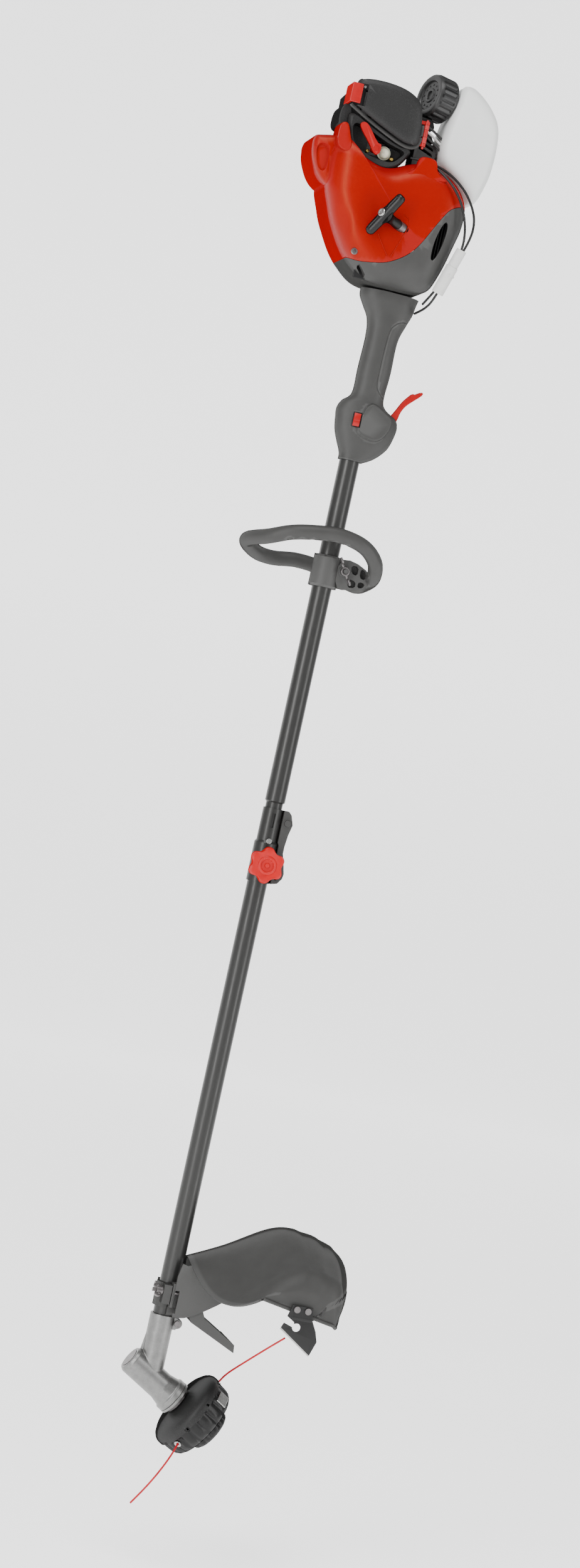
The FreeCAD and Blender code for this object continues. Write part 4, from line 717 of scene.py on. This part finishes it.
def grip_y(x, z, raise_by=0.0):
    """The near surface of the grip at a place, with a raise."""
    _, low, high, half = grip_row(z)
    share = min(0.97, abs((x - (low + high) / 2) / ((high - low) / 2)))
    return -half * (1 - share ** 2.4) ** (1 / 2.4) - raise_by


def grip_ring(row):
    """The grip's rounded section at a row."""
    height, low, high, half = row
    ring = []
    for k in range(64):
        a = math.tau * k / 64
        c, s = math.cos(a), math.sin(a)
        ring.append(((low + high) / 2 + (high - low) / 2 * math.copysign(abs(c) ** 0.84, c),
            half * math.copysign(abs(s) ** 0.84, s), height))
    return ring


BOSS = soft([(-6, 80), (5, 73), (20, 71), (30, 76), (38, 90), (39, 105), (26, 112), (17, 117), (9, 119),
    (2, 113), (-1, 104)], 70)
INSERT = [(34, 227), (24, 224.5), (17, 220), (12, 212), (10, 190), (9.5, 160), (10, 145), (11.5, 138),
    (16, 132), (25.5, 125)]
TRIGGER_ROOM = ((33, -6.3, 98), (60, 6.3, 126))
INSERT_LINE = smooth_line(INSERT, 6)
grip_rings = [grip_ring(row) for row in GRIP_ROWS]
for side, node in ((-1, "grip_near_half"), (1, "grip_far_half")):
    half = loft(node + "_moulding", grip_rings)
    away = box("away", (-80, 0 if side < 0 else -60, 20), (90, 60 if side < 0 else 0, 290))
    carve(half, away, tube_way(30, 270, GRIP_BORE), box("trigger_room", *TRIGGER_ROOM))
    if side < 0:
        boss = pillow("boss", BOSS, [(-22.2, 0.86), (-21.9, 0.9), (-21.0, 0.95), (-19.5, 0.985),
            (-18, 1.0), (-10, 1.0)], (16, 95))
        carve(half, boss, keep="UNION")
        carve(half, tube_way(30, 270, GRIP_BORE), box("trigger_room", *TRIGGER_ROOM),
              box("switch_room", (-11.5, -30, 84.5), (-0.5, -15.5, 103.5)))
    line = [(x, -side * grip_y(x, z, -0.15), z) for x, z in INSERT_LINE]
    carve(half, bar_along("insert_seam", line, (0.8, 0.8), 10, up=(0, 1, 0)))
    settle(half, GREY, "powerhead", [node], 0.45, sharp=50)
# both pads lie on the far half
for pad_name in ("grip_pad_near", "grip_pad_far"):
    rows = []
    for x, z in INSERT_LINE:
        _, low, high, _ = grip_row(z)
        row = []
        for k in range(9):
            at = x + 0.9 + (high - 0.2 - x - 0.9) * k / 8
            lift = 0.35 * math.sin(math.pi * min(1, 0.15 + k / 8)) + 0.1
            row.append((at, -grip_y(at, z, lift), z))
        rows.append(row)
    pad = loft(pad_name, rows, ring_closed=False, caps=False)
    thick = pad.modifiers.new("thick", "SOLIDIFY")
    thick.thickness = 0.9 * MM
    thick.offset = 0
    settle(pad, SOFT_GREY, "powerhead", sharp=60)
trigger = pillow("trigger_blade_finished", soft([(36, 101), (44, 99.5), (47.5, 106), (49, 116), (54, 126),
    (63, 135), (73, 144.5), (72.5, 148), (68, 147), (62, 142.5), (60, 144), (57, 140.5), (50, 131.5),
    (44.5, 120), (40, 111.5), (35.5, 107)], 90), [(-5.0, 0.95), (-4.4, 0.99), (-3.6, 1.0), (3.6, 1.0),
    (4.4, 0.99), (5.0, 0.95)], (50, 122))
carve(trigger, rod("pin_way", (40.5, -8, 103.5), (40.5, 8, 103.5), 1.55, 24))
settle(trigger, CONTROL_RED, "throttle_trigger", ["trigger"], 0.3)
refine("stop_switch", CONTROL_RED, 1.0, 3)
for k, (x, z) in enumerate(((6, 62), (-22, 96), (20, 206), (-6, 148), (-20, 240))):
    screw = lathe("grip_screw_%d" % k, [(0, 0), (2.9, 0), (2.9, 1.0), (2.2, 1.7), (0, 1.7)],
        (x, -grip_y(x, z) - 0.9, z), (0, 1, 0), 28)
    carve(screw, box("cross", (x - 1.6, -grip_y(x, z) + 0.2, z - 0.4), (x + 1.6, 40, z + 0.4)),
          box("cross", (x - 0.4, -grip_y(x, z) + 0.2, z - 1.6), (x + 0.4, 40, z + 1.6)))
    settle(screw, DARK_STEEL, "powerhead", edge=0.15)

# ---------------------------------------------------------------- loop handle
LOOP = [(-105.5, 0, -80), (-85, -0.66, -72), (-60, -0.92, -62), (-30, -1, -56), (0, -1, -53.5),
    (30, -0.97, -60), (50, -0.78, -75), (57.5, -0.36, -92), (57.5, 0.36, -100), (50, 0.78, -104),
    (30, 0.97, -98), (0, 1, -90), (-30, 1, -88), (-60, 0.92, -92), (-85, 0.66, -90)]
loop_line = even(smooth_line([(x, y * 52.5, z) for x, y, z in LOOP], 10, closed=True), 150)
loop = bar_along("loop_bar", loop_line, (9.4, 9.4), 28, closed=True)
shell = rod("shell", (0, 0, -117), (0, 0, -77), 18, 64)
web = plate("web", rounded([(12, -79), (30, -77), (54, -88), (56, -106), (30, -115), (12, -115)], 1), -14,
    -0.6)
boss = rod("boss", (20, -13, -93), (20, -16.6, -93), 6.6, 40)
carve(loop, shell, web, boss, keep="UNION")
FINGER_HOLES = ((-62, -74.5), (-48, -71.5), (-34, -69), (-20, -67.5), (-6, -66.5), (8, -66.5))
finger = [lathe("finger", [(0, -7), (2.6, -6), (4.1, -3), (4.6, 0), (4.1, 3), (2.6, 6), (0, 7)],
                (x, -54.5, z), (0.15, -0.75, -0.66), 24) for x, z in FINGER_HOLES]
WINDOWS = ([(28, -83), (38, -83), (38, -95), (30, -93)], [(41, -84), (49, -88), (49, -98), (41, -96)],
           [(28, -100), (38, -102), (38, -110), (28, -111)], [(41, -101), (50, -102), (48, -108), (41, -109)])
windows = [plate("window", rounded(line, 1), -30, -6) for line in WINDOWS]
carve(loop, box("far_side", (-30, -0.5, -130), (26.5, 30, -60)), tube_way(-130, -60, LOOP_BORE),
      rod("bolt_way", (20, -30, -93), (20, 30, -93), 3.2, 24), *finger, *windows)
settle(loop, GREY, "front_handle", ["loop_handle"], 0.6, sharp=50)
refine("loop_clamp", GREY, 0.7)
melt("loop_wing_nut", DARK_STEEL, 0.35, 6)

# ---------------------------------------------------------------- boom and coupler
refine("coupler_sleeve", TUBE, 0.5)
refine("release_button", STEEL, 0.4)
melt("coupler_bracket", GREY, 0.4, 5)


def lobed(radius, deep):
    """A wave of six lobes."""
    def wave(angle, r, height):
        share = r / radius
        return r - deep * share ** 6 * (0.5 - 0.5 * math.cos(6 * angle)) ** 1.2
    return wave


KNOB_AT = (1, -20.5, -469.5)
knob = lathe("coupler_hand_knob", [(0, 0), (19.5, 0), (21.8, 0.8), (22.8, 2.4), (23.0, 4.5), (23.0, 9.0),
    (22.7, 11.0), (21.6, 12.6), (19.8, 13.3), (14.0, 13.0), (12.2, 12.6), (11.6, 13.4), (10.8, 14.2),
    (10.0, 14.5), (8.8, 14.5), (8.0, 13.8), (7.6, 12.4), (0, 12.2)], KNOB_AT, (0, -1, 0), 168,
    lobed(23.0, 5.0))
stem = rod("stem", (1, -21, -469.5), (1, -15.2, -469.5), 3, 32)
carve(knob, stem, keep="UNION")
settle(knob, KNOB, "coupler_screw", ["coupler_knob"], 0.3, sharp=48)
stud = lathe("knob_stud_end", [(0, 0), (3.0, 0), (3.0, 1.6), (2.2, 2.4), (0, 2.4)], (1, -32.6, -469.5),
    (0, -1, 0), 32)
settle(stud, KNOB, "coupler_screw", edge=0.2)

# ---------------------------------------------------------------- shield
SHIELD = [(0.0, [(14, -967), (60, -945), (115, -914), (150, -910), (190, -917), (212, -932), (218, -962),
    (214, -986)]), (0.52, [(28, -1000), (62, -975), (112, -938), (150, -927), (190, -931), (208, -945),
    (213, -972), (208, -1000)]), (1.0, [(92, -986), (112, -967), (134, -956), (156, -951), (178, -953),
    (190, -963), (194, -985), (190, -1004)])]
SHIELD_Y = 115
ROOF_Y = 91


def shield_line(share):
    """The skin's outer line at a share of the half width."""
    a, b, c = [line for _, line in SHIELD]
    t = abs(share)
    points = []
    for p, q, r in zip(a, b, c):
        point = []
        for u, v, w in zip(p, q, r):
            bend = (v - u) / 0.52 ** 2
            end = u + bend
            point.append(u + bend * t * t + (w - end) * t ** 4)
        points.append(tuple(point))
    return even(smooth_line(points, 8), 60, closed=False)


def chord_of(line):
    """A straight row of points between the line's two ends."""
    return [tuple(Vector(line[0]).lerp(Vector(line[-1]), k / 59)) for k in range(60)]


def shield_row(y, share, pull):
    """A row of the skin: its line, stepped by three ridges and drawn towards its own chord."""
    line = shield_line(share)
    row = []
    for (x, z), (cx, cz) in zip(line, chord_of(line)):
        step = sum(1.7 / (1 + math.exp((mark - x) * 1.1)) for mark in (148, 172, 197))
        row.append((x - 0.5 * step * (x > 180) + (cx - x) * pull, y, z - step * (z > -965) + (cz - z) * pull))
    return row


rows = []
for side in (-1, 1):
    turn = []
    for f in (0.97, 0.9, 0.8, 0.68, 0.56, 0.46):
        turn.append(shield_row(side * (SHIELD_Y - 4), 1.0, f))
    for k in range(9):
        a = math.pi / 2 * (1 - (k + 0.5) / 9)
        turn.append(shield_row(side * (ROOF_Y + (SHIELD_Y - 4 - ROOF_Y) * math.sin(a)),
            0.80 + 0.20 * a / (math.pi / 2), 0.40 * (1 - math.cos(a))))
    rows.append(turn)
middle = [shield_row(ROOF_Y * k / 34, 0.80 * k / 34, 0.0) for k in range(-34, 35)]
rows = rows[0] + middle + rows[1][::-1]
guard = loft("shield_skin", rows, ring_closed=False, caps=False)
thick = guard.modifiers.new("thick", "SOLIDIFY")
thick.thickness = 3.0 * MM
thick.offset = -1
bake(guard)
rib = plate("rib", [(14, -969), (60, -950), (75, -962), (52, -1000), (33, -1038), (14, -1038)], -4, 4)
lip_line = [(28, -1037), (32, -1044), (93, -1072), (92, -1062), (48, -1036), (40, -1020)]
lip_piece = plate("lip", lip_line, -26, 26)
carve(lip_piece, plate("lip_room", [(31, -1036), (35, -1040), (90, -1066), (89, -1062), (47, -1033),
    (39, -1018)], -23, 23))
lip_ribs = [plate("lip_rib", [(36 + 11 * i, -1041 - 5.2 * i), (37.6 + 11 * i, -1041.8 - 5.2 * i),
    (39.6 + 11 * i, -1035.5 - 5.2 * i), (38 + 11 * i, -1034.7 - 5.2 * i)], -23.5, 23.5) for i in range(5)]
cheeks = [plate("cheek", rounded([(3, -973), (16, -976), (60, -956), (90, -962), (96, -984), (80, -1000),
    (62, -1015), (45, -1027), (30, -1036), (18, -1041), (3, -1041)], 1), side * 27 - 1.5,
    side * 27 + 1.5) for side in (-1, 1)]
slot_cut = box("clamp_slot", (3.5, -32, -1036), (9, -22, -1008))
saddle = rod("saddle", (0, 0, -1042), (0, 0, -1001), 17, 64)
ears = box("ears", (0.5, -27, -1030), (9, 27, -1000))
carve(guard, rib, lip_piece, *lip_ribs, *cheeks, saddle, ears, keep="UNION")
carve(guard, slot_cut)
carve(guard, tube_way(-1060, -960, TUBE_R), box("front", (-30, -40, -1060), (0.5, 40, -950)),
      rod("bolt_way", (-10, -21, -1012), (30, -21, -1012), 2.7, 24),
      rod("bolt_way", (-10, 21, -1012), (30, 21, -1012), 2.7, 24))
settle(guard, GREY, "lower_boom", ["shield"], 0.5, sharp=50)
end_line = shield_line(1.0)
chord = chord_of(end_line)
rim = [(x, -SHIELD_Y + 3, z + 1) for x, z in chord[2:-1]]
rim += [row[-1] for row in rows[1:-1]]
rim += [(x, SHIELD_Y - 3, z + 1) for x, z in chord[::-1][1:-2]]
rim = even(smooth_line(even(rim, 60, closed=False), 3), 160, closed=False)
slope = Vector((end_line[-1][0] - end_line[0][0], 0, end_line[-1][1] - end_line[0][1]))
flange = bar_along("shield_flange", [(min(x, 214.5), y, z) for x, y, z in rim], (2.2, 2.2), 14,
    up=slope.cross(Vector((0, 1, 0))).normalized())
settle(flange, GREY, "lower_boom")
refine("shield_strap", GREY, 0.7)
melt("shield_wing_nut", DARK_STEEL, 0.35, 6)

# ---------------------------------------------------------------- line cutter
cutter = plate("cutter_plate", [
    (132, -985), (158, -985), (160, -1000), (167, -1013), (171, -1025), (165, -1043), (123, -1015),
    (126, -1008)], -117.2, -115.2)
hook = rod("hook", (142, -120, -1012), (142, -110, -1012), 5.2, 40)
mouth = plate("mouth", [(138, -1006), (128, -1000), (124, -1008), (139, -1013)], -120, -110)
carve(cutter, hook, mouth)
settle(cutter, BLACK, "lower_boom", ["line_cutter"], 0.4)
blade = plate("cutter_edge", [(124.5, -1014.5), (165, -1041.5), (164.3, -1044.6), (122, -1016.6)], -116.6,
    -115.9)
settle(blade, STEEL, "lower_boom", edge=0.15)
brace = box("cutter_brace", (134, -117.4, -1003), (160, -115.0, -999))
settle(brace, BLACK, "lower_boom", edge=0.6)

# ---------------------------------------------------------------- gear case and head
G = math.radians(59)
SPIN = Vector((math.sin(G), 0, -math.cos(G)))
RISE = Vector((math.cos(G), 0, math.sin(G)))
GEAR = Vector((0, 0, -1122))


def on_head(u, d, along):
    """A point of the head, from its rise, its nearness and its distance along the spin axis."""
    return tuple(GEAR + RISE * u - Vector((0, 1, 0)) * d + SPIN * along)


web_rib = plate("web_rib", [(-14, -1060), (-10, -1060), (14, -1120), (10, -1135), (-20, -1100)], -1.6, 1.6)
melt("gear_case", CAST, 0.55, 5, extra=[web_rib])
collar = lathe("case_collar", [(15, 41.2), (22.4, 41.2), (22.8, 42), (22.8, 44.6), (20, 45.2),
    (15, 45.2)], GEAR, SPIN, 96)
settle(collar, CAST, "lower_boom", edge=0.3)
cover = lathe("head_cover_shell", [(9, 50), (18, 50), (19.5, 50.6), (24, 51.2), (36, 52.8), (44, 55.2),
    (49, 58.2), (51.6, 61.2), (52.8, 64), (53, 66.5), (53, 70), (51, 70.2), (50.5, 66), (48, 61),
    (40, 56.5), (20, 53), (9, 53)], GEAR, SPIN, 144)
notches = []
for k in range(8):
    a = math.tau * k / 8 + 0.3
    out = RISE * math.cos(a) + Vector((0, -1, 0)) * math.sin(a)
    notches.append(rod("notch", GEAR + SPIN * 66 + out * 54.2, GEAR + SPIN * 72 + out * 54.2, 3.6, 24))
carve(cover, *notches)
settle(cover, GRAPHITE, "head", ["head_cover"], 0.4, sharp=50)


def housing_ribs(angle, radius, height):
    """Upright grooves round the spool housing."""
    if radius > 42 and 72 < height < 93:
        return radius - 1.7 * (0.5 + 0.5 * math.cos(20 * angle)) ** 3
    return radius


housing = lathe("spool_drum", [(48, 70.6), (51, 70.6), (51, 71.5), (51, 73), (50.9, 80), (50.4, 86),
    (49.2, 90), (47, 93.2), (44, 95.4), (40, 96), (24, 96), (22, 95), (22, 92.5), (44, 92.5), (48, 88)],
    GEAR, SPIN, 240, housing_ribs)
for k, angle in enumerate((-15.2, 135.5)):
    a = math.radians(angle)
    start = Vector(on_head(46.5 * math.cos(a), 46.5 * math.sin(a), 76))
    out = (Vector(on_head(51.5 * math.cos(a), 51.5 * math.sin(a), 76)) - start).normalized()
    carve(housing, rod("eyelet_way", start - out * 2, start + out * 8, 3.7, 32))
    eyelet = lathe("line_eyelet_%d" % k, [(1.5, 0), (3.6, 0), (3.6, 4.6), (4.6, 5.0), (4.4, 6.2),
        (2.6, 6.4), (1.5, 5.4)], start, out, 40)
    settle(eyelet, STEEL, "head", edge=0.15)
settle(housing, BLACK, "head", ["spool_housing"], 0.3, sharp=48)
for k, angle in enumerate((38, 218)):
    a = math.radians(angle)
    out = RISE * math.cos(a) + Vector((0, -1, 0)) * math.sin(a)
    side = SPIN.cross(out)
    middle = GEAR + SPIN * 82 + out * 50.2
    verts = [tuple(middle + side * s * 9 + SPIN * h * 7 + out * o) for o in (-1.5, 1.4)
        for s, h in ((-1, -1), (1, -1), (1, 1), (-1, 1))]
    tab = solid("release_tab_%d" % k, verts, [(0, 1, 2, 3), (7, 6, 5, 4), (0, 4, 5, 1), (1, 5, 6, 2),
        (2, 6, 7, 3), (3, 7, 4, 0)])
    settle(tab, STEEL if k == 0 else GRAPHITE, "head", edge=0.8, segments=3)


def scallops(angle, radius, height):
    """Shallow finger hollows round the bump knob."""
    return radius - 1.6 * (0.5 + 0.5 * math.cos(12 * angle)) ** 4 if radius > 24 and height > 99 else radius


bump = lathe("bump_knob_finished", [(0, 88.4), (21, 88.4), (21, 99.6), (27.2, 99.6), (28, 100.2),
    (28, 104), (27.6, 106), (26.2, 107.8), (23.6, 109.2), (19, 110), (10, 110), (9, 109.3), (0, 109.3)],
    GEAR, SPIN, 144, scallops)
settle(bump, BLACK, "bump", ["bump_knob"], 0.3, sharp=50)
LINE_A = [(42.5, -11.5), (54, -14.7), (66, -11.5), (82, 3.5), (107, 29), (131, 54), (148, 73)]
LINE_B = [(-30.5, 30), (-39.5, 38.8), (-52, 48.5), (-70, 56), (-91, 59.5), (-110, 58.5), (-128, 55)]
for name, line, length in (("trimmer_line_a", LINE_A, 141.7), ("trimmer_line_b", LINE_B, 106.3)):
    cord(name, [on_head(u, d, 76) for u, d in line], 1.2, LINE, "head", "trimmer_line", length,
         far_end="bare", stiffness="stiff", lay="loose")

# ---------------------------------------------------------------- remaining nodes
slots = {part["node"]: part["material_slot"] for part in frame["record"]["subparts"]}
for name, part in frame["nodes"].items():
    if not part.hide_render:
        part.data.materials.clear()
        plain = DARK_STEEL if name == "lower_fasteners" else SLOTS[slots.get(name, "steel")]
        part.data.materials.append(plain)

# ---------------------------------------------------------------- stage, light and camera
FLOOR, WALL, COVE = -1.36, 7.0, 1.6
cove = [(WALL + COVE * math.sin(a), FLOOR + COVE * (1 - math.cos(a))) for a in
        [math.pi / 2 * k / 12 for k in range(1, 13)]]
backdrop_rows = [[(x * 1000, y * 1000, z * 1000) for x in (-14, 14)] for y, z in [(-12, FLOOR),
    (WALL, FLOOR), *cove, (WALL + COVE, 9.0)]]
backdrop = loft("backdrop", backdrop_rows, ring_closed=False, caps=False)
for face in backdrop.data.polygons:
    face.use_smooth = True
PAPER = finish("paper", (0.90, 0.90, 0.90), 0.9, mottle=0.01, patch=400, Emission_Color=(1, 1, 1, 1),
    Emission_Strength=1.3)
backdrop.data.materials.append(PAPER)

world = bpy.data.worlds.new("studio")
bpy.context.scene.world = world
world.use_nodes = True
world.node_tree.nodes["Background"].inputs["Color"].default_value = (1, 1, 1, 1)
world.node_tree.nodes["Background"].inputs["Strength"].default_value = 0.55


def softbox(name, at, aim, size, power):
    """A wide soft lamp that faces a point."""
    light = bpy.data.lights.new(name, "AREA")
    light.shape = "RECTANGLE"
    light.size, light.size_y = size
    light.energy = power
    lamp = bpy.data.objects.new(name, light)
    lamp.location = at
    lamp.rotation_euler = (Vector(aim) - Vector(at)).to_track_quat("-Z", "Y").to_euler()
    bpy.context.collection.objects.link(lamp)


softbox("key", (-2.3, -2.6, 0.5), (0, 0, -0.3), (0.9, 3.4), 110)
softbox("fill", (2.6, -2.4, 0.2), (0, 0, -0.3), (0.8, 3.2), 60)
softbox("top", (-0.4, -1.2, 2.4), (0, 0, 0.3), (1.6, 1.2), 45)

ROLL = math.radians(12.35)
AZIMUTH = math.radians(-12)
DISTANCE = 4.3
AIM = Vector((0.014, 0, -0.365))
offset = Vector((math.sin(AZIMUTH), -math.cos(AZIMUTH), 0))
level = Vector((-offset.y, offset.x, 0))
camera_data = bpy.data.cameras.new("camera")
camera_data.sensor_fit = "VERTICAL"
camera_data.sensor_height = 24
camera_data.lens = 52.8
camera_data.clip_end = 50
camera = bpy.data.objects.new("camera", camera_data)
bpy.context.collection.objects.link(camera)
right = level * math.cos(ROLL) + Vector((0, 0, 1)) * math.sin(ROLL)
rise = Vector((0, 0, 1)) * math.cos(ROLL) - level * math.sin(ROLL)
turned = Matrix((right, rise, offset)).transposed().to_4x4()
camera.matrix_world = Matrix.Translation(AIM + offset * DISTANCE) @ turned
bpy.context.scene.camera = camera
